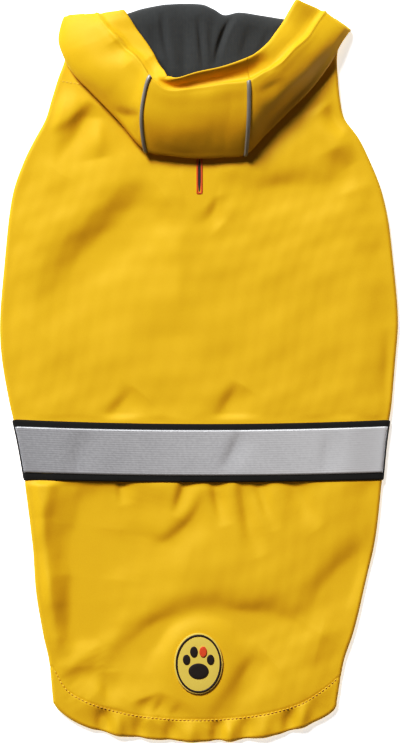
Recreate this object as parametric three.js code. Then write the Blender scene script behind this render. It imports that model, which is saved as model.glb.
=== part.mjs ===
// Hooded dog raincoat lying flat on its chest, back up, with the hood thrown back.
// Millimetres, +Z up, +Y from the tail hem to the neck. The origin is in the middle of the
// footprint, on the surface that the coat lies on.

import * as THREE from 'three';

/** Rows of numbers as objects whose keys are the column names. */
function table(columns, rows) {
  return rows.map((row) => Object.fromEntries(columns.map((column, i) => [column, row[i]])));
}

// Walls and clearances
const CLOTH_WALL = 1.2;
const JERSEY_WALL = 1.2;
const WEBBING_WALL = 1.0;
const SEAM_GAP = 0.3;

// Back panel
const FOLD_RADIUS = 2.5;
const FOLD_STEPS = 4;
const CROWN_HEIGHT = 6.4;
const CROWN_REACH = 32;
const SIDE_TURN = 8;
const CASING_DEPTH = 17;
const CASING_START_Y = -190;
const CASING_FULL_Y = -235;
const PANEL_COLUMNS = 30;
const HEM_END = { left: -114.4, right: 108 };
const CASING_END = { left: -117.1, right: 111.1 };
const BAND_CALM = 10;
const HOOD_LINE = { y: 172, halfWidth: 38, slope: 1.2, fade: 14 };

// Belly panel, with a leg hole on each side
const BELLY_FRONT_Y = 277;
const BELLY_FRONT_HALF = 96;
const BELLY_FRONT_CORNER = 14;
const BELLY_REAR_Y = -205;
const BELLY_ARCH_RISE = 46;
const LEG_HOLE = { x: 70, y: 112, halfWidth: 30, halfLength: 42 };

// Neck end of the chest panel
const NECK_FLOOR = 1.6;
const NECK_HEIGHT = 6.6;
const NECK_EDGE_HEIGHT = 2.2;
const NECK_COLUMNS = 24;
const NECK_ROWS = 7;
const NECK_FOOT = { left: [-39, 220], right: [55, 241] };

// Piping in the hood seams
const PIPING_HALF = 1.8;
const PIPING_EDGE = 0.5;
const PIPING_CROWN = 1.3;

// Leash buttonhole and badge
const BUTTONHOLE = { x: 0.4, y: 156, halfStraight: 12.4, slit: 0.7, halfWidth: 2.8, height: 0.9 };
const BADGE = { x: -0.4, y: -234, halfWidth: 19.5, halfLength: 24.5, plate: 1.4, relief: 0.8 };
const BADGE_BORDER_INNER = 0.88;
const PAW_PAD = { x: 0, y: -6, halfWidth: 8, halfLength: 6.2 };
const PAW_TOES = [
  { x: -9.6, y: 3.2, halfWidth: 2.9, halfLength: 4.0 },
  { x: -3.7, y: 9.4, halfWidth: 3.0, halfLength: 4.3 },
  { x: 3.7, y: 9.4, halfWidth: 3.0, halfLength: 4.3 },
  { x: 9.6, y: 3.2, halfWidth: 2.9, halfLength: 4.0 },
];

const ORANGE_TOE = 2;

// Outline of the body, seen from above, from the neck down to the corners of the hem
const SIDES = [
  { y: 258, left: -106.4, right: 111.2 },
  { y: 248.6, left: -107.2, right: 110.4 },
  { y: 232.6, left: -112.8, right: 111.2 },
  { y: 216.6, left: -117.6, right: 112.8 },
  { y: 200.6, left: -122.4, right: 116.8 },
  { y: 184.6, left: -131.2, right: 128 },
  { y: 168.6, left: -139.2, right: 136 },
  { y: 144.6, left: -148, right: 145.6 },
  { y: 120.6, left: -152, right: 151.2 },
  { y: 80.6, left: -156, right: 156 },
  { y: 40.6, left: -159.2, right: 159.2 },
  { y: 8.6, left: -157.6, right: 157.2 },
  { y: -23.4, left: -152, right: 154.4 },
  { y: -55.4, left: -144.8, right: 149.6 },
  { y: -87.4, left: -139.2, right: 146.4 },
  { y: -135.4, left: -132.8, right: 140.8 },
  { y: -175.4, left: -129.6, right: 132 },
  { y: -207.4, left: -124.8, right: 124 },
  { y: -231.4, left: -120, right: 116 },
  { y: -263.4, left: -116.8, right: 110.4 },
];

// Rounded tail edge, and the seam of its elastic casing
const HEM = [
  { x: -116.8, y: -263.4 },
  { x: -109.6, y: -273 },
  { x: -95.2, y: -282.6 },
  { x: -74.4, y: -289.8 },
  { x: -36, y: -295 },
  { x: 4.8, y: -296.6 },
  { x: 40.8, y: -294.6 },
  { x: 68, y: -289.8 },
  { x: 88, y: -282.6 },
  { x: 105.6, y: -273 },
  { x: 110.4, y: -263.4 },
];
const CASING_SEAM = [
  { x: -120, y: -230.6 },
  { x: -116, y: -238.6 },
  { x: -106.4, y: -254.6 },
  { x: -92.8, y: -263.4 },
  { x: -78.4, y: -269 },
  { x: -47.2, y: -276.2 },
  { x: 0.8, y: -279.4 },
  { x: 48.8, y: -275.4 },
  { x: 80.8, y: -266.6 },
  { x: 96.8, y: -257 },
  { x: 108, y: -248.2 },
  { x: 113.6, y: -241.8 },
];

// Cross lines of the back panel: y at the two sides, bow in the middle, rows up to the next line
const CROSS_LINES = [
  { name: 'neckline', left: 255, right: 258, bow: -50, rows: 18 },
  { name: 'bandTop', left: -39, right: -39.4, bow: -3.4, rows: 1 },
  { name: 'tapeTop', left: -44.4, right: -44.4, bow: -3, rows: 2 },
  { name: 'tapeBottom', left: -81.4, right: -81.4, bow: -2.4, rows: 1 },
  { name: 'bandBottom', left: -87.2, right: -87, bow: -1.4, rows: 12 },
];
const CASING_ROWS = 2;

// Folds of the back panel: from (x1, y1) past (cx, cy) to (x2, y2), half width and rise
const CREASES = [
  { x1: -90, y1: 219, cx: -100, cy: 202, x2: -122, y2: 194, width: 7, rise: 2.5 },
  { x1: -86, y1: 218, cx: -95, cy: 197, x2: -118, y2: 166, width: 9, rise: -2.7 },
  { x1: -81, y1: 202, cx: -82, cy: 185, x2: -79, y2: 170, width: 8, rise: 2 },
  { x1: 98, y1: 213, cx: 107, cy: 203, x2: 117, y2: 197, width: 6, rise: -2.1 },
  { x1: 92, y1: 211, cx: 104, cy: 191, x2: 121, y2: 164, width: 7, rise: 2.3 },
  { x1: 104, y1: 181, cx: 110, cy: 167, x2: 118, y2: 147, width: 8, rise: -1.7 },
  { x1: -37, y1: 149, cx: -71, cy: 125, x2: -139, y2: 51, width: 14, rise: -2 },
  { x1: 4, y1: 141, cx: 7, cy: 129, x2: 16, y2: 120, width: 7, rise: -1.4 },
  { x1: -15, y1: 116, cx: -14, cy: 75, x2: -16, y2: 33, width: 9, rise: 0.9 },
  { x1: -52, y1: -11, cx: -62, cy: -23, x2: -78, y2: -37, width: 7, rise: -1.8 },
  { x1: 31, y1: -7, cx: 23, cy: -20, x2: 12, y2: -38, width: 7, rise: -1.8 },
  { x1: 150, y1: 37, cx: 152, cy: 0, x2: 149, y2: -30, width: 6, rise: -1.3 },
  { x1: -118, y1: -89, cx: -121, cy: -109, x2: -129, y2: -134, width: 7, rise: 2.3 },
  { x1: -92, y1: -95, cx: -118, cy: -113, x2: -122, y2: -143, width: 8, rise: -2.3 },
  { x1: -122, y1: -143, cx: -106, cy: -175, x2: -110, y2: -201, width: 8, rise: -2.3 },
  { x1: -110, y1: -201, cx: -105, cy: -231, x2: -78, y2: -259, width: 9, rise: -2.3 },
  { x1: -63, y1: -91, cx: -63, cy: -95, x2: -62, y2: -103, width: 6, rise: -1.4 },
  { x1: -17, y1: -92, cx: -17, cy: -101, x2: -18, y2: -111, width: 6, rise: -1.6 },
  { x1: -2, y1: -107, cx: -7, cy: -121, x2: -27, y2: -132, width: 7, rise: -1.7 },
  { x1: 12, y1: -92, cx: 13, cy: -106, x2: 18, y2: -119, width: 6, rise: -1.7 },
  { x1: 34, y1: -92, cx: 35, cy: -111, x2: 42, y2: -131, width: 6, rise: -1.8 },
  { x1: 48, y1: -92, cx: 51, cy: -107, x2: 59, y2: -121, width: 5, rise: -1.6 },
  { x1: 72, y1: -92, cx: 78, cy: -105, x2: 90, y2: -119, width: 7, rise: -1.7 },
  { x1: -62, y1: -122, cx: -39, cy: -131, x2: -16, y2: -138, width: 10, rise: -1.3 },
  { x1: 36, y1: -136, cx: 41, cy: -142, x2: 46, y2: -147, width: 9, rise: -1.2 },
  { x1: 133, y1: -138, cx: 108, cy: -153, x2: 82, y2: -189, width: 9, rise: -2.5 },
  { x1: 81, y1: -191, cx: 37, cy: -181, x2: -12, y2: -187, width: 9, rise: -2 },
  { x1: -12, y1: -187, cx: -43, cy: -199, x2: -75, y2: -238, width: 9, rise: -2.1 },
  { x1: 47, y1: -227, cx: 26, cy: -247, x2: 9, y2: -275, width: 8, rise: -2.3 },
  { x1: -75, y1: -238, cx: -74, cy: -251, x2: -75, y2: -265, width: 6, rise: -1.6 },
  { x1: -47, y1: -259, cx: -45, cy: -265, x2: -38, y2: -273, width: 6, rise: -1.6 },
];
const CREASE_STEPS = 10;

// Puckers of the elastic casing, along the hem
const PUCKERS = [
  { x: -77, width: 5, rise: -1.2 },
  { x: -64, width: 5, rise: 0.8 },
  { x: -48, width: 5, rise: -0.8 },
  { x: -23, width: 5, rise: -0.8 },
  { x: -6, width: 6, rise: 0.7 },
  { x: 15, width: 5, rise: -1.3 },
  { x: 25, width: 5, rise: 0.8 },
  { x: 37, width: 5, rise: -0.8 },
  { x: 52, width: 6, rise: 0.6 },
  { x: 72, width: 5, rise: -0.9 },
  { x: 83, width: 5, rise: 0.8 },
];

// Top edge of the neck jersey, and its upright folds from the left (0) to the right (1)
const NECK_TOP = [
  { x: -66, y: 283 },
  { x: -56, y: 286 },
  { x: -47, y: 289 },
  { x: -38, y: 291 },
  { x: -25, y: 293 },
  { x: 2, y: 293 },
  { x: 12, y: 289 },
  { x: 20, y: 284.5 },
  { x: 32, y: 286.5 },
  { x: 50, y: 284 },
  { x: 69, y: 281 },
  { x: 79, y: 280 },
];
const NECK_FOLDS = [
  { at: 0.1, width: 0.05, rise: 0.8 },
  { at: 0.2, width: 0.06, rise: 1.6 },
  { at: 0.32, width: 0.035, rise: -1.6 },
  { at: 0.42, width: 0.06, rise: 1.8 },
  { at: 0.53, width: 0.03, rise: -1.4 },
  { at: 0.6, width: 0.035, rise: -1.8 },
  { at: 0.7, width: 0.06, rise: 1.7 },
  { at: 0.83, width: 0.05, rise: -0.9 },
  { at: 0.92, width: 0.05, rise: 0.9 },
];

// Hood stations from the left end round the nape to the right end. E is the outer fold, G the
// crest and M the rim, in plan; bow pushes the crown sideways, nape is how far the lower layer
// runs back, low is its height, roll the radius of the outer fold, crest and rim are heights, and
// dip is how far the strip between them sags.
const HOOD = table(
  ['ex', 'ey', 'gx', 'gy', 'mx', 'my', 'bow', 'nape', 'low', 'roll', 'crest', 'rim', 'dip'],
  [
    [-106.4, 282, -81.6, 282.6, -60.8, 285.4, 0, 0.5, 1.8, 2, 7.5, 7, 0],
    [-107.6, 283.2, -81.6, 285.4, -60, 288.2, 0, 0.5, 2, 3, 12, 11, 0],
    [-112.4, 265, -77.6, 279, -56, 283, 0, 0.45, 4.6, 3.5, 18, 13, 0],
    [-108.6, 251.6, -70.4, 270.2, -48.8, 271.8, 0, 0.35, 6.8, 4, 22, 13.5, 1],
    [-100.8, 237.4, -59.2, 257.4, -39.2, 258.2, 0, 0.35, 7.1, 4, 25, 16, 2],
    [-85.6, 221.4, -51.2, 251, -32.8, 247, 0, 0.38, 7.1, 4.6, 29, 18.5, 1.5],
    [-64.8, 199.8, -44, 242.2, -28, 238.2, 0, 0.5, 7.1, 5, 32, 23, 2],
    [-42.4, 175.4, -38.8, 234.2, -24.8, 231.4, 5, 0.6, 7.1, 5.6, 34.5, 26.5, 2.5],
    [-23.2, 171.4, -25.6, 223.8, -18.4, 232.6, 2, 0.65, 7.1, 5.4, 35, 28.5, 3.5],
    [-1.6, 169.4, -1.6, 225.4, -2.4, 238, 0, 0.65, 7.1, 5, 36, 30, 4.5],
    [18.4, 170.2, 20.8, 228.6, 18.4, 242.6, 0, 0.65, 7.1, 4.8, 37, 31, 5],
    [37.2, 172.6, 39.6, 230.6, 38.4, 249.4, -1, 0.6, 7.1, 4.6, 37.5, 30, 4],
    [53.6, 188.6, 52, 237.4, 46.4, 253, 0, 0.55, 7.1, 4.6, 37.5, 27, 2],
    [72, 207, 64.8, 244.6, 54.4, 260.6, 0, 0.5, 7.1, 4.4, 36, 24, 0.5],
    [89.6, 224.6, 76, 256.6, 60.8, 269.4, 0, 0.4, 7.1, 4.2, 32, 19, 0],
    [105.6, 246.2, 86.4, 265.8, 67.2, 278.6, 0, 0.35, 7.1, 4, 26, 14, 0],
    [113.6, 261, 93.6, 276.6, 72, 287.4, 0, 0.4, 5.8, 4, 19, 13, 0],
    [120.8, 272.2, 100.8, 286.4, 77.6, 296.2, 0, 0.5, 2, 3, 12, 11, 0],
    [119.2, 271.4, 100, 283.8, 78.4, 293.4, 0, 0.5, 1.8, 2, 7.5, 7, 0],
  ],
);
const LEFT_SEAM = 7;
const RIGHT_SEAM = 11;
const STATION_STEP = 0.5;
const SECTION_STEPS = [2, 2, 2, 2, 2, 2, 2, 1];
const PIPING_FIRST_SAMPLE = 3;
const PIPING_LAST_SAMPLE = 12;

const FINISHES = {
  raincloth: new THREE.MeshStandardMaterial({ color: '#e8b623', roughness: 0.55, metalness: 0 }),
  jersey: new THREE.MeshStandardMaterial({ color: '#3b3d3c', roughness: 0.95, metalness: 0 }),
  elastic: new THREE.MeshStandardMaterial({ color: '#1c1c18', roughness: 0.85, metalness: 0 }),
  tape: new THREE.MeshStandardMaterial({ color: '#a9a9ab', roughness: 0.45, metalness: 0.3 }),
  piping: new THREE.MeshStandardMaterial({ color: '#8a8a86', roughness: 0.5, metalness: 0.2 }),
  thread: new THREE.MeshStandardMaterial({ color: '#c8501e', roughness: 0.7, metalness: 0 }),
  cream: new THREE.MeshStandardMaterial({ color: '#d9c07a', roughness: 0.6, metalness: 0 }),
  dark: new THREE.MeshStandardMaterial({ color: '#33261c', roughness: 0.6, metalness: 0 }),
  orange: new THREE.MeshStandardMaterial({ color: '#cf4f22', roughness: 0.6, metalness: 0 }),
};

const { lerp, clamp, smoothstep } = THREE.MathUtils;

/** Smooth value of one column of a table at a place in another, through every row. */
function lookUp(table, place, key, value) {
  const rising = table[table.length - 1][key] > table[0][key];
  const rows = rising ? table : [...table].reverse();
  let i = 0;
  while (i < rows.length - 2 && rows[i + 1][key] < place) i += 1;
  const slope = (j) => {
    const a = rows[Math.max(j - 1, 0)];
    const b = rows[Math.min(j + 1, rows.length - 1)];
    return (b[value] - a[value]) / (b[key] - a[key]);
  };
  const span = rows[i + 1][key] - rows[i][key];
  const t = clamp((place - rows[i][key]) / span, 0, 1);
  const h = t * t * (3 - 2 * t);
  const tangents = (t * (1 - t) * (1 - t) * slope(i) - t * t * (1 - t) * slope(i + 1)) * span;
  return lerp(rows[i][value], rows[i + 1][value], h) + tangents;
}

const sideX = (y, side) => lookUp(SIDES, y, 'y', side);
const hemY = (x) => lookUp(HEM, clamp(x, HEM[0].x, HEM[HEM.length - 1].x), 'x', 'y');
const casingY = (x) => lookUp(CASING_SEAM, x, 'x', 'y');

/** Distance from a point to a crease's curve, and how far along it the nearest place is. */
function nearestOnCrease(crease, x, y) {
  let best = { distance: Infinity, along: 0 };
  let from = { x: crease.x1, y: crease.y1 };
  for (let i = 1; i <= CREASE_STEPS; i += 1) {
    const t = i / CREASE_STEPS;
    const s = 1 - t;
    const to = {
      x: s * s * crease.x1 + 2 * s * t * crease.cx + t * t * crease.x2,
      y: s * s * crease.y1 + 2 * s * t * crease.cy + t * t * crease.y2,
    };
    const length2 = (to.x - from.x) ** 2 + (to.y - from.y) ** 2;
    const dot = (x - from.x) * (to.x - from.x) + (y - from.y) * (to.y - from.y);
    const f = clamp(dot / length2, 0, 1);
    const distance = Math.hypot(x - lerp(from.x, to.x, f), y - lerp(from.y, to.y, f));
    if (distance < best.distance) best = { distance, along: (i - 1 + f) / CREASE_STEPS };
    from = to;
  }
  return best;
}

/** Rise of the folds above the plain panel: a soft bell across each one, fading at its ends. */
function creaseRise(x, y) {
  let rise = 0;
  for (const crease of CREASES) {
    const { distance, along } = nearestOnCrease(crease, x, y);
    const bell = Math.exp(-((distance / crease.width) ** 2));
    rise += crease.rise * bell * Math.sin(Math.PI * clamp(along, 0.12, 0.88));
  }
  return rise;
}

/** Rise of the puckers that the elastic draws into the casing, none at its seam. */
function puckerRise(x, y) {
  const depth = clamp((casingY(x) - y) / CASING_DEPTH, 0, 1);
  let rise = 0;
  for (const pucker of PUCKERS) {
    rise += pucker.rise * Math.exp(-(((x - pucker.x) / pucker.width) ** 2));
  }
  return rise * Math.sin(0.75 * Math.PI * depth);
}

/** How freely the cloth may fold: 0 under the hood, the band, the buttonhole and the badge. */
function freedom(x, y) {
  const hoodY = HOOD_LINE.y + HOOD_LINE.slope * Math.max(0, Math.abs(x) - HOOD_LINE.halfWidth);
  const hood = 1 - smoothstep(y, hoodY - HOOD_LINE.fade, hoodY);
  const bandMiddle = (CROSS_LINES[1].left + CROSS_LINES[4].left) / 2;
  const bandHalf = (CROSS_LINES[1].left - CROSS_LINES[4].left) / 2;
  const band = smoothstep(Math.abs(y - bandMiddle), bandHalf - 2, bandHalf + BAND_CALM);
  const overBadge = Math.hypot((x - BADGE.x) / BADGE.halfWidth, (y - BADGE.y) / BADGE.halfLength);
  const badge = smoothstep(overBadge, 1.4, 1.9);
  const overSlit = Math.hypot((x - BUTTONHOLE.x) / 12, (y - BUTTONHOLE.y) / 26);
  const slit = smoothstep(overSlit, 1, 1.5);
  return hood * band * badge * slit;
}

/** Height of the back panel's outer side at a place in plan, away from its turned edges. */
function panelHeight(x, y) {
  const edge = Math.min(x - sideX(y, 'left'), sideX(y, 'right') - x, y - hemY(x));
  const crown = smoothstep(edge, FOLD_RADIUS, CROWN_REACH);
  const rise = (creaseRise(x, y) * freedom(x, y) + puckerRise(x, y)) * lerp(0.45, 1, crown);
  return lerp(2 * FOLD_RADIUS, CROWN_HEIGHT, crown) + rise;
}

/** Places in plan of the back panel's grid, a row of points for each line across it. */
function panelPlan() {
  const rows = [];
  const across = (left, right, heightAt) => {
    const row = [];
    for (let i = 0; i <= PANEL_COLUMNS; i += 1) {
      const u = i / PANEL_COLUMNS;
      const x = lerp(left, right, u);
      row.push([x, heightAt(u, x)]);
    }
    return row;
  };
  const lineAt = (line) => across(
    sideX(line.left, 'left') + FOLD_RADIUS,
    sideX(line.right, 'right') - FOLD_RADIUS,
    (u) => lerp(line.left, line.right, u) + line.bow * 4 * u * (1 - u),
  );
  const casing = across(CASING_END.left, CASING_END.right, (u, x) => casingY(x));
  const hem = across(HEM_END.left, HEM_END.right, (u, x) => hemY(x) + FOLD_RADIUS);
  CROSS_LINES.forEach((line, index) => {
    const next = CROSS_LINES[index + 1];
    for (let step = 0; step < line.rows; step += 1) {
      const f = step / line.rows;
      if (next) {
        rows.push(lineAt({
          left: lerp(line.left, next.left, f),
          right: lerp(line.right, next.right, f),
          bow: lerp(line.bow, next.bow, f),
        }));
      } else {
        rows.push(blendRows(lineAt(line), casing, f));
      }
    }
  });
  for (let step = 0; step <= CASING_ROWS; step += 1) {
    rows.push(blendRows(casing, hem, step / CASING_ROWS));
  }
  return rows;
}

/** Points part of the way between two rows, with the ends set on the outline's sides. */
function blendRows(upper, lower, f) {
  const last = upper.length - 1;
  const leftY = lerp(upper[0][1], lower[0][1], f);
  const rightY = lerp(upper[last][1], lower[last][1], f);
  const leftX = sideX(leftY, 'left') + FOLD_RADIUS;
  const rightX = sideX(rightY, 'right') - FOLD_RADIUS;
  const shiftLeft = leftX - lerp(upper[0][0], lower[0][0], f);
  const shiftRight = rightX - lerp(upper[last][0], lower[last][0], f);
  return upper.map((point, i) => [
    lerp(point[0], lower[i][0], f) + lerp(shiftLeft, shiftRight, i / last),
    lerp(point[1], lower[i][1], f),
  ]);
}

/** Sheet of the back panel: the top layer, the fold all round and the turning under it. */
function backPanelSheet() {
  const plan = panelPlan();
  const points = [];
  const triangles = [];
  const grid = plan.map((row) => row.map(([x, y]) => {
    points.push(new THREE.Vector3(x, y, panelHeight(x, y)));
    return points.length - 1;
  }));
  const last = grid.length - 1;
  const rim = [
    ...grid.map((row) => row[0]),
    ...grid[last].slice(1),
    ...grid.slice(0, last).reverse().map((row) => row[PANEL_COLUMNS]),
  ];
  const ring = rim.map((vertex, k) => {
    const before = points[rim[Math.max(k - 1, 0)]];
    const after = points[rim[Math.min(k + 1, rim.length - 1)]];
    const out = new THREE.Vector3(after.y - before.y, before.x - after.x, 0).normalize();
    return foldRound(points, vertex, out);
  });
  for (let j = 0; j < last; j += 1) {
    for (let i = 0; i < PANEL_COLUMNS; i += 1) {
      addQuad(triangles, grid[j][i], grid[j + 1][i], grid[j + 1][i + 1], grid[j][i + 1]);
    }
  }
  for (let k = 0; k < ring.length - 1; k += 1) {
    for (let m = 0; m < ring[k].length - 1; m += 1) {
      addQuad(triangles, ring[k][m + 1], ring[k + 1][m + 1], ring[k + 1][m], ring[k][m]);
    }
  }
  return { points, triangles, grid, ring, normals: sheetNormals(points, triangles) };
}

/** Carry one rim point round the fold and under the panel, down to the surface it lies on. */
function foldRound(points, vertex, out) {
  const start = points[vertex];
  const radius = start.z / 2;
  const path = [vertex];
  for (let step = 1; step <= FOLD_STEPS; step += 1) {
    const angle = (Math.PI * step) / FOLD_STEPS;
    const point = start.clone().addScaledVector(out, radius * Math.sin(angle));
    point.z = radius * (1 + Math.cos(angle));
    points.push(point);
    path.push(points.length - 1);
  }
  const hem = 1 - smoothstep(start.y, CASING_FULL_Y, CASING_START_Y);
  const turn = lerp(SIDE_TURN, CASING_DEPTH - FOLD_RADIUS, hem);
  points.push(new THREE.Vector3(start.x - out.x * turn, start.y - out.y * turn, 0));
  path.push(points.length - 1);
  return path;
}

function addQuad(triangles, a, b, c, d) {
  triangles.push([a, b, c], [a, c, d]);
}

/** Triangles of a grid of vertex numbers whose columns run right and whose rows run down. */
function gridTriangles(grid) {
  const triangles = [];
  for (let j = 0; j < grid.length - 1; j += 1) {
    for (let i = 0; i < grid[j].length - 1; i += 1) {
      addQuad(triangles, grid[j][i], grid[j + 1][i], grid[j + 1][i + 1], grid[j][i + 1]);
    }
  }
  return triangles;
}

/** Normal at each point of a sheet, the area-weighted mean of its triangles' normals. */
function sheetNormals(points, triangles) {
  const normals = points.map(() => new THREE.Vector3());
  for (const [a, b, c] of triangles) {
    const ab = points[b].clone().sub(points[a]);
    const normal = ab.cross(points[c].clone().sub(points[a]));
    for (const corner of [a, b, c]) normals[corner].add(normal);
  }
  return normals.map((normal) => normal.normalize());
}

/** Closed solid between an upper and a lower copy of one sheet. */
function solidBetween(upper, lower, triangles) {
  const count = upper.length;
  const faces = [];
  const edges = new Set();
  for (const [a, b, c] of triangles) {
    faces.push(a, b, c, a + count, c + count, b + count);
    for (const [p, q] of [[a, b], [b, c], [c, a]]) edges.add(`${p},${q}`);
  }
  for (const edge of edges) {
    const [p, q] = edge.split(',').map(Number);
    if (!edges.has(`${q},${p}`)) faces.push(q, p, p + count, q, p + count, q + count);
  }
  const geometry = new THREE.BufferGeometry();
  const position = [...upper, ...lower].flatMap((point) => point.toArray());
  geometry.setAttribute('position', new THREE.Float32BufferAttribute(position, 3));
  geometry.setIndex(faces);
  geometry.computeVertexNormals();
  return geometry;
}

/** Wall over a sheet, between two distances out along its normals. */
function wallOver({ points, triangles, normals }, low, high) {
  const level = (i, lift) => points[i].clone().addScaledVector(normals[i], lift);
  const upper = points.map((point, i) => level(i, typeof high === 'function' ? high(i) : high));
  const lower = points.map((point, i) => level(i, low));
  return solidBetween(upper, lower, triangles);
}

/** Part of another sheet, given as rows of its vertex numbers. */
function patchOf(sheet, rows) {
  const numbers = new Map();
  const points = [];
  const normals = [];
  const grid = rows.map((row) => row.map((vertex) => {
    if (!numbers.has(vertex)) {
      numbers.set(vertex, points.length);
      points.push(sheet.points[vertex]);
      normals.push(sheet.normals[vertex]);
    }
    return numbers.get(vertex);
  }));
  return { points, normals, triangles: gridTriangles(grid) };
}

/** Rows of the back panel from one cross line to another, out to a step of the side fold. */
function bandRows(panel, from, to, foldStep) {
  const start = (name) => {
    const index = CROSS_LINES.findIndex((line) => line.name === name);
    return CROSS_LINES.slice(0, index).reduce((sum, line) => sum + line.rows, 0);
  };
  const rows = [];
  for (let j = start(from); j <= start(to); j += 1) {
    const left = panel.ring[j].slice(1, foldStep + 1).reverse();
    const right = panel.ring[panel.ring.length - 1 - j].slice(1, foldStep + 1);
    rows.push([...left, ...panel.grid[j], ...right]);
  }
  return rows;
}

function makeBackPanel(panel) {
  return wallOver(panel, -CLOTH_WALL, 0);
}

/** Black elastic, laid on the panel and round its side folds to the side seams. */
function makeElastic(panel) {
  const patch = patchOf(panel, bandRows(panel, 'bandTop', 'bandBottom', 2));
  return wallOver(patch, SEAM_GAP, SEAM_GAP + WEBBING_WALL);
}

/** Reflective tape, laid on the elastic. */
function makeTape(panel) {
  const patch = patchOf(panel, bandRows(panel, 'tapeTop', 'tapeBottom', 1));
  const low = 2 * SEAM_GAP + WEBBING_WALL;
  return wallOver(patch, low, low + WEBBING_WALL);
}

/** Belly panel: a flat sheet within the back panel's turned edges, with two leg holes. */
function makeBellyPanel(panel) {
  const inside = (k) => {
    const path = panel.ring[k];
    const seam = panel.points[path[path.length - 1]];
    const fold = panel.points[path[path.length - 2]];
    const inward = seam.clone().sub(fold).normalize();
    return seam.clone().addScaledVector(inward, SEAM_GAP);
  };
  const side = [];
  const otherSide = [];
  for (let k = 0; panel.points[panel.ring[k][0]].y > BELLY_REAR_Y; k += 1) {
    side.push(inside(k));
    otherSide.unshift(inside(panel.ring.length - 1 - k));
  }
  const rearLeft = side[side.length - 1];
  const rearRight = otherSide[0];
  const cornerX = BELLY_FRONT_HALF - BELLY_FRONT_CORNER;
  const cornerY = BELLY_FRONT_Y - BELLY_FRONT_CORNER;
  const shape = new THREE.Shape();
  shape.moveTo(-cornerX, BELLY_FRONT_Y);
  shape.quadraticCurveTo(-BELLY_FRONT_HALF, BELLY_FRONT_Y, -BELLY_FRONT_HALF, cornerY);
  for (const point of side) shape.lineTo(point.x, point.y);
  const apexX = (rearLeft.x + rearRight.x) / 2;
  const apexY = (rearLeft.y + rearRight.y) / 2 + 2 * BELLY_ARCH_RISE;
  shape.quadraticCurveTo(apexX, apexY, rearRight.x, rearRight.y);
  for (const point of otherSide.slice(1)) shape.lineTo(point.x, point.y);
  shape.lineTo(BELLY_FRONT_HALF, cornerY);
  shape.quadraticCurveTo(BELLY_FRONT_HALF, BELLY_FRONT_Y, cornerX, BELLY_FRONT_Y);
  shape.closePath();
  for (const sign of [-1, 1]) {
    const hole = new THREE.Path();
    const { x, y, halfWidth, halfLength } = LEG_HOLE;
    hole.absellipse(sign * x, y, halfWidth, halfLength, 0, 2 * Math.PI, true);
    shape.holes.push(hole);
  }
  const wall = { depth: JERSEY_WALL, bevelEnabled: false, curveSegments: 12 };
  return new THREE.ExtrudeGeometry(shape, wall);
}

/** Neck end of the chest panel: gathered jersey with upright folds, heaped into one solid. */
function makeNeckJersey() {
  const upper = [];
  const grid = [];
  for (let j = 0; j <= NECK_ROWS; j += 1) {
    const v = j / NECK_ROWS;
    const row = [];
    for (let i = 0; i <= NECK_COLUMNS; i += 1) {
      const u = i / NECK_COLUMNS;
      const topX = lerp(NECK_TOP[0].x, NECK_TOP[NECK_TOP.length - 1].x, u);
      const x = lerp(topX, lerp(NECK_FOOT.left[0], NECK_FOOT.right[0], u), v);
      const footY = lerp(NECK_FOOT.left[1], NECK_FOOT.right[1], u);
      const y = lerp(lookUp(NECK_TOP, topX, 'x', 'y'), footY, v);
      const edge = Math.min(1, v * 5, (1 - v) * 5, u * 8, (1 - u) * 8);
      const round = Math.sqrt(1 - (1 - edge) ** 2);
      let fold = 0;
      for (const { at, width, rise } of NECK_FOLDS) {
        fold += rise * Math.exp(-(((u - at) / width) ** 2));
      }
      const z = NECK_FLOOR + lerp(NECK_EDGE_HEIGHT, NECK_HEIGHT + fold, round);
      row.push(upper.push(new THREE.Vector3(x, y, z)) - 1);
    }
    grid.push(row);
  }
  const lower = upper.map((point) => new THREE.Vector3(point.x, point.y, NECK_FLOOR));
  return solidBetween(upper, lower, gridTriangles(grid));
}

/** Nine points of a hood station's section, from the hidden lower layer up to the rim. */
function hoodSection(station) {
  const outer = new THREE.Vector2(station.ex, station.ey);
  const crest = new THREE.Vector2(station.gx, station.gy);
  const rim = new THREE.Vector2(station.mx, station.my);
  const width = outer.distanceTo(crest);
  const inward = crest.clone().sub(outer).normalize();
  const sideways = new THREE.Vector2(-inward.y, inward.x);
  const rollTop = station.low + 2 * station.roll;
  const at = (distance, push, z) => {
    const place = outer.clone().addScaledVector(inward, distance).addScaledVector(sideways, push);
    return new THREE.Vector3(place.x, place.y, z);
  };
  const between = crest.clone().lerp(rim, 0.42);
  const sagged = lerp(station.crest, station.rim, 0.42) - station.dip;
  return [
    at(station.roll + station.nape * width, 0, station.low),
    at(station.roll, 0, station.low),
    at(0, 0, station.low + station.roll),
    at(station.roll, station.bow * 0.4, rollTop),
    at(0.42 * width, station.bow, lerp(rollTop, station.crest, 0.62)),
    at(0.74 * width, station.bow * 0.8, lerp(rollTop, station.crest, 0.9)),
    at(width, 0, station.crest),
    new THREE.Vector3(between.x, between.y, sagged),
    new THREE.Vector3(rim.x, rim.y, station.rim),
  ];
}

const HOOD_SECTIONS = HOOD.map(hoodSection);
const HOOD_LINES = HOOD_SECTIONS[0].map((_, k) => (
  new THREE.CatmullRomCurve3(HOOD_SECTIONS.map((section) => section[k]), false, 'centripetal')
));

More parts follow.
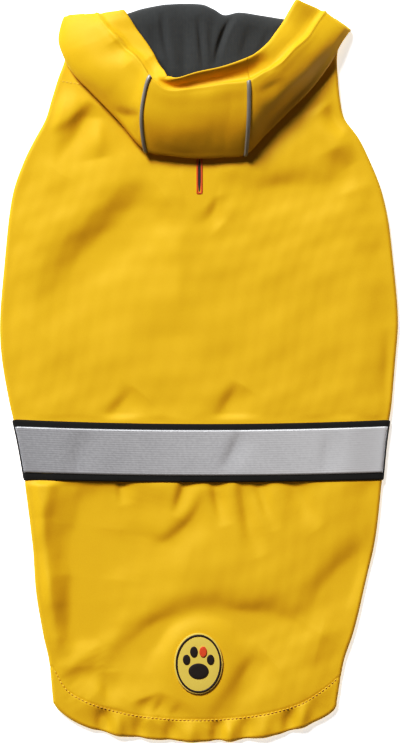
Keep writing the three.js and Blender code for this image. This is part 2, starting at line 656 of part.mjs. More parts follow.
/** Points of the hood's section at a station number, pushed along the hood by a distance. */
function hoodColumn(station, push = 0) {
  const t = station / (HOOD.length - 1);
  const section = HOOD_LINES.map((line) => {
    const point = line.getPoint(t);
    return push === 0 ? point : point.addScaledVector(line.getTangent(t), push);
  });
  const curve = new THREE.CatmullRomCurve3(section, false, 'centripetal');
  const points = [];
  SECTION_STEPS.forEach((steps, k) => {
    for (let i = 0; i < steps; i += 1) {
      points.push(curve.getPoint((k + i / steps) / SECTION_STEPS.length));
    }
  });
  points.push(curve.getPoint(1));
  for (const point of points) point.z = Math.max(point.z, section[0].z);
  return points;
}

/** Sheet through columns of section points, each column further round the hood. */
function columnSheet(columns) {
  const points = columns.flat();
  const height = columns[0].length;
  const grid = columns.map((column, c) => column.map((_, k) => c * height + k));
  const triangles = [];
  for (let c = 0; c < grid.length - 1; c += 1) {
    for (let k = 0; k < height - 1; k += 1) {
      addQuad(triangles, grid[c][k], grid[c + 1][k], grid[c + 1][k + 1], grid[c][k + 1]);
    }
  }
  return { points, triangles, normals: sheetNormals(points, triangles) };
}

/** One cut piece of the hood between two stations, short of its seams by half the gap. */
function makeHoodPiece(from, to) {
  const columns = [];
  for (let station = from; station <= to; station += STATION_STEP) {
    if (station === from && from > 0) {
      columns.push(hoodColumn(from, SEAM_GAP / 2), hoodColumn(from, PIPING_HALF));
    } else if (station === to && to < HOOD.length - 1) {
      columns.push(hoodColumn(to, -PIPING_HALF), hoodColumn(to, -SEAM_GAP / 2));
    } else {
      columns.push(hoodColumn(station));
    }
  }
  return wallOver(columnSheet(columns), -CLOTH_WALL, 0);
}

/** Rounded reflective piping over a hood seam, from under its outer fold up to the crest. */
function makePiping(seam) {
  const columns = [-PIPING_HALF, 0, PIPING_HALF].map((push) => (
    hoodColumn(seam, push).slice(PIPING_FIRST_SAMPLE, PIPING_LAST_SAMPLE + 1)
  ));
  const sheet = columnSheet(columns);
  const height = columns[0].length;
  const rounded = (i) => SEAM_GAP + (Math.floor(i / height) === 1 ? PIPING_CROWN : PIPING_EDGE);
  return wallOver(sheet, SEAM_GAP, rounded);
}

/** Sheet of rings about a middle, each ring's points given by a scale and an angle. */
function ringSheet(scales, segments, place) {
  const points = [];
  const triangles = [];
  const solidMiddle = scales[0] === 0;
  scales.forEach((scale) => {
    const count = scale === 0 ? 1 : segments;
    for (let i = 0; i < count; i += 1) points.push(place(scale, (2 * Math.PI * i) / segments));
  });
  const first = solidMiddle ? 1 : 0;
  for (let i = 0; i < segments; i += 1) {
    const next = (i + 1) % segments;
    if (solidMiddle) triangles.push([0, first + i, first + next]);
    for (let k = 0; k < scales.length - 1 - first; k += 1) {
      const inner = first + k * segments;
      const outer = inner + segments;
      addQuad(triangles, inner + i, outer + i, outer + next, inner + next);
    }
  }
  return { points, triangles };
}

/** Upright wall on the back panel's top: a flat-lying sheet raised between two lifts. */
function flatWall({ points, triangles }, low, high) {
  const raise = (lift) => points.map((point) => point.clone().add(new THREE.Vector3(0, 0, lift)));
  return solidBetween(raise(high), raise(low), triangles);
}

/** Worked ring of thread round the leash slit. */
function makeButtonhole() {
  const place = (radius, angle) => {
    const x = BUTTONHOLE.x + radius * Math.cos(angle);
    const end = BUTTONHOLE.halfStraight * Math.sign(Math.sin(angle));
    const y = BUTTONHOLE.y + radius * Math.sin(angle) + end;
    return new THREE.Vector3(x, y, CROWN_HEIGHT);
  };
  const segments = 14;
  const half = Math.PI / segments;
  const radii = [BUTTONHOLE.slit, BUTTONHOLE.halfWidth];
  const sheet = ringSheet(radii, segments, (radius, angle) => place(radius, angle + half));
  return flatWall(sheet, SEAM_GAP, SEAM_GAP + BUTTONHOLE.height);
}

/** Oval or oval ring of the badge, at a place measured from the badge's middle. */
function badgeOval({ x, y, halfWidth, halfLength }, scales, segments, low, thickness) {
  const place = (scale, angle) => new THREE.Vector3(
    BADGE.x + x + scale * halfWidth * Math.cos(angle),
    BADGE.y + y + scale * halfLength * Math.sin(angle),
    CROWN_HEIGHT,
  );
  return flatWall(ringSheet(scales, segments, place), low, low + thickness);
}

const BADGE_OVAL = { ...BADGE, x: 0, y: 0 };
const BADGE_RING = [BADGE_BORDER_INNER, 1];
const BADGE_TOP = 2 * SEAM_GAP + BADGE.plate;

const group = new THREE.Group();

function addPiece(name, geometry, finish) {
  const mesh = new THREE.Mesh(geometry, FINISHES[finish]);
  mesh.name = name;
  group.add(mesh);
}

const panel = backPanelSheet();
addPiece('back_panel', makeBackPanel(panel), 'raincloth');
addPiece('belly_panel', makeBellyPanel(panel), 'jersey');
addPiece('neck_jersey', makeNeckJersey(), 'jersey');
addPiece('hood_left', makeHoodPiece(0, LEFT_SEAM), 'raincloth');
addPiece('hood_gusset', makeHoodPiece(LEFT_SEAM, RIGHT_SEAM), 'raincloth');
addPiece('hood_right', makeHoodPiece(RIGHT_SEAM, HOOD.length - 1), 'raincloth');
addPiece('piping_left', makePiping(LEFT_SEAM), 'piping');
addPiece('piping_right', makePiping(RIGHT_SEAM), 'piping');
addPiece('band_elastic', makeElastic(panel), 'elastic');
addPiece('band_tape', makeTape(panel), 'tape');
addPiece('leash_buttonhole', makeButtonhole(), 'thread');
addPiece('badge_plate', badgeOval(BADGE_OVAL, [0, 1], 32, SEAM_GAP, BADGE.plate), 'cream');
addPiece('badge_border', badgeOval(BADGE_OVAL, BADGE_RING, 32, BADGE_TOP, BADGE.relief), 'dark');
addPiece('badge_paw_pad', badgeOval(PAW_PAD, [0, 1], 20, BADGE_TOP, BADGE.relief), 'dark');
PAW_TOES.forEach((toe, i) => {
  const oval = badgeOval(toe, [0, 1], 16, BADGE_TOP, BADGE.relief);
  addPiece(`badge_toe_${i + 1}`, oval, i === ORANGE_TOE ? 'orange' : 'dark');
});

export default group;
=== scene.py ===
"""Looks of a hooded dog raincoat lying flat, back up, with its hood thrown back.

Every cloth piece is a fine surface worked out from short tables of the garment's cut and folds.
The tables are in millimetres, +Y from the tail hem to the neck, +Z up, and MM turns them into
Blender's metres.
"""

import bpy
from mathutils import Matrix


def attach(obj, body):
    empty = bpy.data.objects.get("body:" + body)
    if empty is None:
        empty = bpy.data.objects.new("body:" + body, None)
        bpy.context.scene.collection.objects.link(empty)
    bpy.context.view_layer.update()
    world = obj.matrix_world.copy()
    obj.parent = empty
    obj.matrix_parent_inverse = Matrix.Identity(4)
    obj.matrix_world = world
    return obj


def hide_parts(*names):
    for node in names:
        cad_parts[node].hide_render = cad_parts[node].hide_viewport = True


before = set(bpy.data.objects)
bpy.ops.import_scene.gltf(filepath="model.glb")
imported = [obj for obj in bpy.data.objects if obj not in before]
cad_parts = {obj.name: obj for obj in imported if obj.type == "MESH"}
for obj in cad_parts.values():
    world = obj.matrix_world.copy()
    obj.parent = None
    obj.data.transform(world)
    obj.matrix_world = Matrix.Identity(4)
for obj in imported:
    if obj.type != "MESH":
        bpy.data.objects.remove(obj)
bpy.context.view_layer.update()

import logging
import math
from dataclasses import dataclass, replace
from enum import Enum

import bpy
import numpy as np

logging.basicConfig(level=logging.INFO, format="%(levelname)s %(message)s")
LOG = logging.getLogger("raincoat")

MM = 0.001
BODY = "root"
UV_NAME = "Cloth"

Number = float | np.ndarray
Place = tuple[float, ...] | np.ndarray
Socket = bpy.types.NodeSocket
UP, DOWN = (0.0, 0.0, 1.0), (0.0, 0.0, -1.0)

# Tables of the cut and the folds


def table(*rows: tuple[float, ...]) -> np.ndarray:
    """Rows of numbers as one array."""
    return np.array(rows, dtype=float)


# Y, then x of the left and of the right side, of the laid body.
SIDES = table(
    (258, -106.4, 111.2), (248.6, -107.2, 110.4), (232.6, -112.8, 111.2), (216.6, -117.6, 112.8),
    (200.6, -122.4, 116.8), (184.6, -131.2, 128), (168.6, -139.2, 136), (144.6, -148, 145.6),
    (120.6, -152, 151.2), (80.6, -156, 156), (40.6, -159.2, 159.2), (8.6, -157.6, 157.2),
    (-23.4, -152, 154.4), (-55.4, -144.8, 149.6), (-87.4, -139.2, 146.4), (-135.4, -132.8, 140.8),
    (-175.4, -129.6, 132), (-207.4, -124.8, 124), (-231.4, -120, 116), (-263.4, -116.8, 110.4),
)

# X, y of the rounded tail edge.
HEM = table(
    (-116.8, -263.4), (-109.6, -273), (-95.2, -282.6), (-74.4, -289.8), (-36, -295), (4.8, -296.6),
    (40.8, -294.6), (68, -289.8), (88, -282.6), (105.6, -273), (110.4, -263.4),
)

# X, y of the stitched seam above the elastic casing.
CASING_SEAM = table(
    (-120, -230.6), (-116, -238.6), (-106.4, -254.6), (-92.8, -263.4), (-78.4, -269),
    (-47.2, -276.2), (0.8, -279.4), (48.8, -275.4), (80.8, -266.6), (96.8, -257), (108, -248.2),
    (113.6, -241.8),
)

# The back's folds: from x1, y1 past cx, cy to x2, y2, then half width and rise.
CREASES = table(
    (-90, 219, -100, 202, -122, 194, 7, 2.5), (-86, 218, -95, 197, -118, 166, 9, -2.7),
    (-81, 202, -82, 185, -79, 170, 8, 2), (98, 213, 107, 203, 117, 197, 6, -2.1),
    (92, 211, 104, 191, 121, 164, 7, 2.3), (104, 181, 110, 167, 118, 147, 8, -1.7),
    (-35, 152, -71, 125, -141, 48, 16, -3.6), (-48, 160, -82, 136, -142, 72, 13, 1.8),
    (14, 152, 64, 147, 122, 160, 13, -2.4), (4, 141, 7, 129, 16, 120, 7, -1.4),
    (-17, 122, -20, 75, -16, 28, 10, 1), (-52, -11, -62, -23, -78, -37, 7, -1.8),
    (31, -7, 23, -20, 12, -38, 7, -1.8), (150, 37, 152, 0, 149, -30, 6, -1.3),
    (-118, -70, -124, -105, -134, -144, 11, 3.9), (-85, -70, -97, -108, -101, -154, 20, -3.9),
    (-95, -114, -101, -168, -98, -226, 20, -4.2), (-108, -180, -110, -226, -84, -250, 11, -2.2),
    (-116, -240, -99, -234, -80, -216, 10, 2.6), (-128, -118, -124, -172, -109, -228, 11, 4.2),
    (-64, -72, -64, -88, -62, -106, 3.5, -1.7), (-9, -70, -12, -90, -21, -114, 4.5, -2.1),
    (3, -92, -2, -124, -40, -140, 6.5, -2.1), (9, -70, 12, -98, 19, -122, 4.5, -2.2),
    (33, -66, 32, -112, 47, -146, 5.5, -2.3), (43, -70, 47, -98, 60, -126, 4, -1.9),
    (66, -70, 76, -100, 94, -122, 6, -1.9), (-66, -124, -39, -133, -10, -140, 10, -1.3),
    (133, -137, 106, -149, 79, -194, 13, -3.4), (94, -200, 32, -184, -44, -198, 14, -4.1),
    (20, -188, -46, -194, -86, -248, 14, -4.1), (52, -222, 24, -243, 6, -282, 10, -3.4),
    (-75, -238, -74, -251, -75, -265, 6, -1.6), (-47, -259, -45, -265, -38, -273, 6, -1.6),
    (-28, -256, -31, -266, -39, -277, 5, -1.7), (-12, -262, -17, -268, -25, -276, 5, -1.4),
)

# The same columns, for folds that bend the band too.
BAND_CREASES = table(
    (34, -42, 27, -60, 17, -78, 5, -0.9), (-96, -44, -99, -60, -98, -80, 6, -0.5),
    (104, -44, 99, -62, 100, -80, 6, -0.5),
)

# The same columns, for the hood's upper layer.
HOOD_CREASES = table(
    (-72, 273, -66, 265, -58, 257, 2.2, 1.1), (-69, 265, -64, 257, -56, 248, 4, -1.5),
    (-40, 252, -35, 244, -30, 235, 4, -2.2), (-73, 207, -60, 203, -46, 207, 7, -3.4),
    (-66, 202, -58, 197, -48, 191, 4.5, 1.3), (-96, 262, -88, 240, -70, 221, 9, 0.9),
    (48, 253, 52, 246, 57, 239, 3, -1.3), (47, 194, 70, 212, 96, 241, 4, -1.4),
    (50, 210, 73, 226, 99, 256, 5, 1.2), (46, 221, 57, 228, 69, 234, 4, -1.2),
    (60, 193, 78, 210, 99, 233, 4, 0.9), (-20, 205, 2, 209, 24, 205, 9, 0.5),
    (-12, 228, -2, 224, 14, 230, 3, -0.7),
)

# X along the casing, half width and rise of its gathers.
PUCKERS = table(
    (-77, 5, -1.2), (-64, 5, 0.8), (-48, 5, -0.8), (-23, 5, -0.8), (-6, 6, 0.7), (15, 5, -1.3),
    (25, 5, 0.8), (37, 5, -0.8), (52, 6, 0.6), (72, 5, -0.9), (83, 5, 0.8),
)

# Direction in degrees, wave length, height and phase of the cloth's slight unevenness.
RIPPLES = table(
    (14, 61, 0.22, 0.4), (78, 47, 0.16, 2.1), (131, 35, 0.13, 4.4), (43, 23, 0.06, 1.3),
    (104, 17, 0.04, 5.2), (163, 12, 0.025, 3.3),
)

# Height, length and phase of the waves that bend the ripples, along x and along y.
RIPPLE_BENDS = table((6, 31, 0.7), (5, 27, 1.9))

# X, y of the folded top edge of the neck's jersey.
NECK_TOP = table(
    (-66, 283), (-56, 286), (-47, 289), (-38, 291), (-25, 293), (2, 293), (12, 289), (20, 284.5),
    (32, 286.5), (50, 284), (69, 281), (79, 280),
)

# Place from the left (0) to the right (1), half width and rise of the neck's upright folds.
NECK_FOLDS = table(
    (0.1, 0.05, 0.8), (0.2, 0.06, 1.6), (0.32, 0.035, -1.6), (0.42, 0.06, 1.8), (0.53, 0.03, -1.4),
    (0.6, 0.035, -1.8), (0.7, 0.06, 1.7), (0.83, 0.05, -0.9), (0.92, 0.05, 0.9),
)

# The same columns as CREASES, for the jersey in the hood's opening.
NECK_CREASES = table(
    (-31, 288, -30, 266, -22, 242, 2.2, -2.6), (-26, 286, -25, 264, -17, 244, 3, 1.1),
    (-2, 285, 1, 262, 3, 240, 1.9, -2.4), (3, 284, 7, 262, 8, 240, 2.6, 1.2),
    (27, 285, 15, 270, 12, 243, 2.2, -2.8), (31, 283, 20, 268, 17, 245, 2.8, 1.3),
    (-40, 278, -37, 262, -30, 250, 3, -1.2), (-14, 282, -11, 262, -9, 244, 3.5, -0.8),
    (40, 278, 36, 264, 32, 248, 3.5, -1.1), (56, 276, 52, 264, 46, 252, 3, -0.8),
)

# Place along the hood's section, half width and height of the ridges pressed in near its rim.
PRESSED = table((6, 0.14, 0.8), (6.4, 0.22, -0.5), (7.85, 0.12, 0.5))

# Knots of the hood's upper layer: way from the outer fold to the crest, share of the bow, and
# way from the roll's top to the crest's height.
UPPER_KNOTS = ((0.42, 1, 0.62), (0.74, 0.8, 0.9))
# Share of the bow on the roll's top, and way from the crest to the rim at which it dips.
ROLL_BOW, DIP_WAY = 0.4, 0.42

# Station of the hood and how far its rim is lifted there.
RIM_LIFT = table((0, 4.5), (5, 4.5), (8, 6.5), (12, 6.5), (14, 9), (18, 8))

# The hood's stations from left to right: outer fold x, y; crest x, y; rim x, y; bow, nape, low,
# roll, crest height, rim height and the dip between them.
HOOD = table(
    (-106.4, 282, -81.6, 282.6, -60.8, 285.4, 0, 0.5, 1.8, 2, 7.5, 7, 0),
    (-107.6, 283.2, -81.6, 285.4, -60, 288.2, 0, 0.5, 2, 3, 12, 11, 0),
    (-112.4, 265, -77.6, 279, -56, 283, 0, 0.45, 4.6, 3.5, 18, 13, 0),
    (-108.6, 251.6, -70.4, 270.2, -48.8, 271.8, 0, 0.35, 6.8, 4, 22, 13.5, 1),
    (-100.8, 237.4, -59.2, 257.4, -39.2, 258.2, 0, 0.35, 7.1, 4, 25, 16, 2),
    (-85.6, 221.4, -51.2, 251, -32.8, 247, 0, 0.38, 7.1, 4.6, 29, 18.5, 1.5),
    (-64.8, 199.8, -44, 242.2, -28, 238.2, 0, 0.5, 7.1, 5, 32, 23, 2),
    (-42.4, 175.4, -38.8, 234.2, -24.8, 231.4, 5, 0.6, 7.1, 5.6, 34.5, 26.5, 2.5),
    (-23.2, 171.4, -25.6, 223.8, -18.4, 232.6, 2, 0.65, 7.1, 5.4, 35, 28.5, 3.5),
    (-1.6, 169.4, -1.6, 225.4, -2.4, 238, 0, 0.65, 7.1, 5, 36, 30, 4.5),
    (18.4, 170.2, 20.8, 228.6, 18.4, 242.6, 0, 0.65, 7.1, 4.8, 37, 31, 5),
    (37.2, 172.6, 39.6, 230.6, 38.4, 249.4, -1, 0.6, 7.1, 4.6, 37.5, 30, 4),
    (53.6, 188.6, 52, 237.4, 46.4, 253, 0, 0.55, 7.1, 4.6, 37.5, 27, 2),
    (72, 207, 64.8, 244.6, 54.4, 260.6, 0, 0.5, 7.1, 4.4, 36, 24, 0.5),
    (89.6, 224.6, 76, 256.6, 60.8, 269.4, 0, 0.4, 7.1, 4.2, 32, 19, 0),
    (105.6, 246.2, 86.4, 265.8, 67.2, 278.6, 0, 0.35, 7.1, 4, 26, 14, 0),
    (113.6, 261, 93.6, 276.6, 72, 287.4, 0, 0.4, 5.8, 4, 19, 13, 0),
    (120.8, 272.2, 100.8, 286.4, 77.6, 296.2, 0, 0.5, 2, 3, 12, 11, 0),
    (119.2, 271.4, 100, 283.8, 78.4, 293.4, 0, 0.5, 1.8, 2, 7.5, 7, 0),
)

# Number helpers


def smoothstep(value: np.ndarray, low: float, high: float) -> np.ndarray:
    """Smooth rise from 0 at low to 1 at high.

    Args:
        value: Numbers to place.
        low: Where the rise starts.
        high: Where it ends.

    Returns:
        Numbers from 0 to 1.
    """
    t = np.clip((value - low) / (high - low), 0, 1)
    return t * t * (3 - 2 * t)


def lerp(a: Number, b: Number, t: Number) -> Number:
    """Value a part t of the way from a to b."""
    return a + (b - a) * t


def bell(distance: Number, width: Number) -> Number:
    """Rounded bump: 1 in the middle, and 1/e at the width from it."""
    return np.exp(-((distance / width) ** 2))


def quadratic(start: Place, middle: Place, end: Place, t: np.ndarray) -> np.ndarray:
    """Points of the curve from start to end that is drawn toward the middle.

    Args:
        start: Its first point.
        middle: The point that draws it.
        end: Its last point.
        t: Parts of the way, as a column.

    Returns:
        The points, the three given ones weighted by (1 - t)^2, 2t(1 - t) and t^2.
    """
    start, middle, end = (np.asarray(place, float) for place in (start, middle, end))
    return (1 - t) ** 2 * start + 2 * t * (1 - t) * middle + t**2 * end


def run_along(points: np.ndarray, axis: int) -> np.ndarray:
    """Length from the first point to each point of the lines along an axis of a grid."""
    steps = np.linalg.norm(np.diff(points, axis=axis), axis=-1)
    return np.insert(np.cumsum(steps, axis=axis), 0, 0, axis=axis)


def unit(vectors: np.ndarray) -> np.ndarray:
    """Vectors brought to length 1."""
    return vectors / np.maximum(np.linalg.norm(vectors, axis=-1, keepdims=True), 1e-12)


def look_up(keys: np.ndarray, values: np.ndarray, place: np.ndarray) -> np.ndarray:
    """Smooth values at places along a table, through every row of it.

    Between two rows it is a cubic, whose slope at a row is that between its neighbours.

    Args:
        keys: The table's first column, rising or falling.
        values: Its second column.
        place: Where to read it.

    Returns:
        The values there.
    """
    order = np.argsort(keys)
    keys, values = keys[order], values[order]
    rise, run = (
        np.concatenate([[column[1] - column[0]], column[2:] - column[:-2], [column[-1] - column[-2]]])
        for column in (values, keys)
    )
    slope = rise / run
    i = np.clip(np.searchsorted(keys, place) - 1, 0, len(keys) - 2)
    span = keys[i + 1] - keys[i]
    t = np.clip((place - keys[i]) / span, 0, 1)
    bend = (t * (1 - t) ** 2 * slope[i] - t * t * (1 - t) * slope[i + 1]) * span
    return lerp(values[i], values[i + 1], t * t * (3 - 2 * t)) + bend


def catmull_rom(knots: np.ndarray, places: np.ndarray) -> np.ndarray:
    """Centripetal Catmull-Rom curves through rows of knots.

    Args:
        knots: Knots of shape (knots, curves, 3).
        places: Knot numbers, with fractions, at which the curves are read.

    Returns:
        Points of shape (places, curves, 3).
    """
    ends = [2 * knots[:1] - knots[1:2], knots, 2 * knots[-1:] - knots[-2:-1]]
    padded = np.concatenate(ends)
    i = np.clip(np.floor(places).astype(int), 0, len(knots) - 2)
    t = (places - i)[:, None, None]
    p0, p1, p2, p3 = (padded[i + k] for k in range(4))

    def interval(a: np.ndarray, b: np.ndarray) -> np.ndarray:
        """Root of the distance between knots."""
        return np.sqrt(np.maximum(np.linalg.norm(b - a, axis=-1, keepdims=True), 1e-6))

    d0, d1, d2 = interval(p0, p1), interval(p1, p2), interval(p2, p3)
    t1 = ((p1 - p0) / d0 - (p2 - p0) / (d0 + d1) + (p2 - p1) / d1) * d1
    t2 = ((p2 - p1) / d1 - (p3 - p1) / (d1 + d2) + (p3 - p2) / d2) * d1
    return p1 + t * (t1 + t * (-3 * p1 + 3 * p2 - 2 * t1 - t2 + t * (2 * p1 - 2 * p2 + t1 + t2)))


# Direction in plan in which the laid cloth was pushed.
PUSHED = np.array([0.5, -0.87])


@dataclass(frozen=True)
class FoldShape:
    """Section of a soft fold: its steep and slow sides, shift and reach, in half widths.

    The turn is how soon one side goes over into the other, the chords are the steps along the
    fold, and the least is the smallest distance that is divided by.
    """

    steep: float = 0.9
    slow: float = 2.1
    shift: float = 0.6
    reach: float = 5
    turn: float = 0.6
    chords: int = 12
    least: float = 0.01


FOLD = FoldShape()


def beside(curve: np.ndarray, x: np.ndarray, y: np.ndarray) -> tuple[np.ndarray, ...]:
    """How places lie beside a curve made of chords.

    Args:
        curve: Points of the curve.
        x: Places in plan.
        y: Places in plan.

    Returns:
        Distance from the nearest chord, part of the way along the curve there, and how far the
        place lies on the side toward which the cloth is pushed, from -1 to 1.
    """
    best = np.full_like(x, np.inf)
    along = np.zeros_like(x)
    down = np.zeros_like(x)
    for k, ((ax, ay), (bx, by)) in enumerate(zip(curve, curve[1:])):
        dx, dy = bx - ax, by - ay
        f = np.clip(((x - ax) * dx + (y - ay) * dy) / (dx * dx + dy * dy), 0, 1)
        off_x, off_y = x - ax - f * dx, y - ay - f * dy
        distance = np.hypot(off_x, off_y)
        closer = distance < best
        fall = (off_x * PUSHED[0] + off_y * PUSHED[1]) / np.maximum(distance, FOLD.least)
        down = np.where(closer, fall, down)
        best = np.where(closer, distance, best)
        along = np.where(closer, (k + f) / (len(curve) - 1), along)
    return best, along, down


def crease_rise(creases: np.ndarray, x: np.ndarray, y: np.ndarray) -> np.ndarray:
    """Rise of soft folds above a plain surface.

    Each fold is a bell across its curve and a half sine along it, so it fades at its ends. The
    cloth is pushed toward the tail, so each falls steeply on that side and slowly on the other.

    Args:
        creases: Rows of x1, y1, cx, cy, x2, y2, half width and rise.
        x: Places in plan.
        y: Places in plan.

    Returns:
        The rise at each place.
    """
    total = np.zeros_like(x)
    steps = np.linspace(0, 1, FOLD.chords + 1)[:, None]
    for x1, y1, cx, cy, x2, y2, width, rise in creases:
        curve = quadratic((x1, y1), (cx, cy), (x2, y2), steps)
        curve = curve + PUSHED * (FOLD.shift * width if rise < 0 else 0)
        reach = FOLD.reach * width
        low, high = curve.min(axis=0) - reach, curve.max(axis=0) + reach
        near = (x > low[0]) & (x < high[0]) & (y > low[1]) & (y < high[1])
        distance, along, down = beside(curve, x[near], y[near])
        slow = smoothstep(-np.sign(rise) * down, -FOLD.turn, FOLD.turn)
        across = bell(distance, width * lerp(FOLD.steep, FOLD.slow, slow))
        total[near] += rise * across * np.sin(math.pi * along)
    return total


def ripple(x: np.ndarray, y: np.ndarray) -> np.ndarray:
    """Slight unevenness of laid cloth: crossing sine waves whose lines are bent by two more.

    Args:
        x: Places in plan.
        y: Places in plan.

    Returns:
        The rise at each place.
    """
    total = np.zeros_like(x)
    waves = zip((x, y), RIPPLE_BENDS)
    bend = sum(height * np.sin(place / length + phase) for place, (height, length, phase) in waves)
    for direction, length, height, phase in RIPPLES:
        a = math.radians(direction)
        along = x * math.cos(a) + y * math.sin(a) + bend
        total += height * np.sin(2 * math.pi * along / length + phase)
    return total


def quads_of(grid: np.ndarray) -> np.ndarray:
    """Quads of a grid of vertex numbers whose rows run down and whose columns run right."""
    corners = (grid[:-1, :-1], grid[1:, :-1], grid[1:, 1:], grid[:-1, 1:])
    return np.stack(corners, axis=-1).reshape(-1, 4)


def vertex_normals(points: np.ndarray, quads: np.ndarray) -> np.ndarray:
    """Normals at the points of a surface, each the sum of its quads' area vectors.

    Args:
        points: The points.
        quads: Four point numbers to each quad, counter-clockwise from outside.

    Returns:
        Vectors of length 1.
    """
    a, b, c, d = (points[quads[:, k]] for k in range(4))
    flat = np.cross(c - a, d - b)
    sums = [
        sum(np.bincount(quads[:, k], flat[:, axis], len(points)) for k in range(4))
        for axis in range(3)
    ]
    return unit(np.stack(sums, axis=-1))


# Surfaces


@dataclass
class Surface:
    """Points, quads and cloth coordinates of one stretch of surface, in millimetres."""

    points: np.ndarray
    quads: np.ndarray
    uv: np.ndarray

    def normals(self) -> np.ndarray:
        """Normals at the points."""
        return vertex_normals(self.points, self.quads)

    def area(self) -> float:
        """Area in square metres."""
        a, b, c, d = (self.points[self.quads[:, k]] for k in range(4))
        return float(np.linalg.norm(np.cross(c - a, d - b), axis=-1).sum() / 2) * MM * MM


def grid_surface(points: np.ndarray, uv: np.ndarray) -> Surface:
    """Surface through a grid of points.

    Args:
        points: Points of shape (rows, columns, 3).
        uv: Their cloth coordinates.

    Returns:
        The surface, with a quad to each mesh of the grid.
    """
    rows, columns = points.shape[:2]
    grid = np.arange(rows * columns).reshape(rows, columns)
    return Surface(points.reshape(-1, 3), quads_of(grid), uv.reshape(-1, 2))


def wall_over(surface: Surface, normals: np.ndarray, low: Number, high: Number) -> Surface:
    """Closed wall between two distances from a surface along its normals.

    Args:
        surface: The surface that the wall follows.
        normals: Directions in which it is moved out.
        low: Distance of its inner side, one number or one for each point.
        high: Distance of its outer side.

    Returns:
        The closed surface.
    """
    count = len(surface.points)
    low, high = (np.broadcast_to(np.asarray(v, float), (count,))[:, None] for v in (low, high))
    q = surface.quads
    ends = np.concatenate([q[:, [k, (k + 1) % 4]] for k in range(4)])
    codes = ends[:, 0] * count + ends[:, 1]
    rim = ends[~np.isin(ends[:, 1] * count + ends[:, 0], codes)]
    side = np.stack([rim[:, 1], rim[:, 0], rim[:, 0] + count, rim[:, 1] + count], axis=-1)
    quads = np.concatenate([q, q[:, ::-1] + count, side])
    points = np.concatenate([surface.points + normals * high, surface.points + normals * low])
    return Surface(points, quads, np.concatenate([surface.uv, surface.uv]))


def join(surfaces: list[Surface]) -> Surface:
    """One surface out of several, kept apart in space."""
    starts = np.cumsum([0] + [len(s.points) for s in surfaces[:-1]])
    return Surface(
        np.concatenate([s.points for s in surfaces]),
        np.concatenate([s.quads + start for s, start in zip(surfaces, starts)]),
        np.concatenate([s.uv for s in surfaces]),
    )


@dataclass(frozen=True)
class Stitch:
    """Sizes of one kind of stitch: spacing, thread length and width, and rise above the cloth.

    A thread is a tube of so many rings and sides. Its ends keep the least share of its squared
    girth and dip by so many times its rise.
    """

    pitch: float
    length: float
    width: float
    lift: float
    rings: int = 5
    sides: int = 6
    least: float = 0.04
    dip: float = 1.6


def stitch_row(path: np.ndarray, up: Place, stitch: Stitch) -> Surface:
    """Row of short threads along a path, each dipping into the cloth at its ends.

    Args:
        path: Points of the seam on the cloth, in order.
        up: The cloth's outward direction.
        stitch: Sizes of the stitches.

    Returns:
        The threads as one surface of tubes, whose girth and height fall off from the middle.
    """
    arc = run_along(path, 0)
    count = max(int(arc[-1] / stitch.pitch), 1)
    t = np.linspace(-0.5, 0.5, stitch.rings)
    middle = (np.arange(count) + 0.5) * arc[-1] / count
    place = middle[:, None] + t[None, :] * stitch.length
    centre = np.stack([np.interp(place, arc, path[:, k]) for k in range(3)], axis=-1)
    ahead = unit(centre[:, -1:] - centre[:, :1])
    up = np.array(up)
    across = np.cross(up, ahead)
    girth = np.sqrt(np.maximum(1 - (2 * t) ** 2, stitch.least)) * stitch.width / 2
    dip = stitch.lift * (1 - stitch.dip * (2 * t) ** 4)
    angle = 2 * np.pi * np.arange(stitch.sides) / stitch.sides
    ring = np.cos(angle)[:, None] * across[:, :, None, :] + np.sin(angle)[:, None] * up
    points = centre[:, :, None, :] + up * dip[:, None, None]
    points = points + ring * girth[:, None, None]
    grid = np.arange(count * stitch.rings * stitch.sides).reshape(count, stitch.rings, stitch.sides)
    grid = np.concatenate([grid, grid[:, :, :1]], axis=2)
    quads = np.concatenate([quads_of(piece)[:, ::-1] for piece in grid])
    points = points.reshape(-1, 3)
    return Surface(points, quads, points[:, :2].copy())


def add_mesh(name: str, surface: Surface, material: bpy.types.Material) -> bpy.types.Object:
    """Smooth mesh object of a surface.

    Args:
        name: The object's name.
        surface: Its points, quads and cloth coordinates, in millimetres.
        material: Its material.

    Returns:
        The object, linked to the scene.
    """
    mesh = bpy.data.meshes.new(name)
    mesh.from_pydata((surface.points * MM).tolist(), [], surface.quads.tolist())
    corners = np.empty(len(mesh.loops), dtype=np.int32)
    mesh.loops.foreach_get("vertex_index", corners)
    layer = mesh.uv_layers.new(name=UV_NAME)
    layer.data.foreach_set("uv", surface.uv[corners].astype(np.float32).ravel())
    mesh.polygons.foreach_set("use_smooth", np.ones(len(mesh.polygons), dtype=bool))
    mesh.materials.append(material)
    mesh.update()
    item = bpy.data.objects.new(name, mesh)
    bpy.context.scene.collection.objects.link(item)
    return item


def place_piece(item: bpy.types.Object, slot: str, nodes: tuple[str, ...] = ()) -> None:
    """Let a piece ride on the body and stand for its CAD nodes, and log its material slot's name.

    Args:
        item: The piece.
        slot: The material slot's name.
        nodes: Names of the CAD nodes that it stands for.
    """
    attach(item, BODY)
    if nodes:
        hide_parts(*nodes)
    LOG.info("%s: %d faces, slot %s", item.name, len(item.data.polygons), slot)


# Materials


def linear(colour: str) -> tuple[float, float, float, float]:
    """Linear RGBA of an sRGB hex colour."""
    parts = [int(colour[i : i + 2], 16) / 255 for i in (1, 3, 5)]
    return (*(c / 12.92 if c <= 0.04045 else ((c + 0.055) / 1.055) ** 2.4 for c in parts), 1.0)


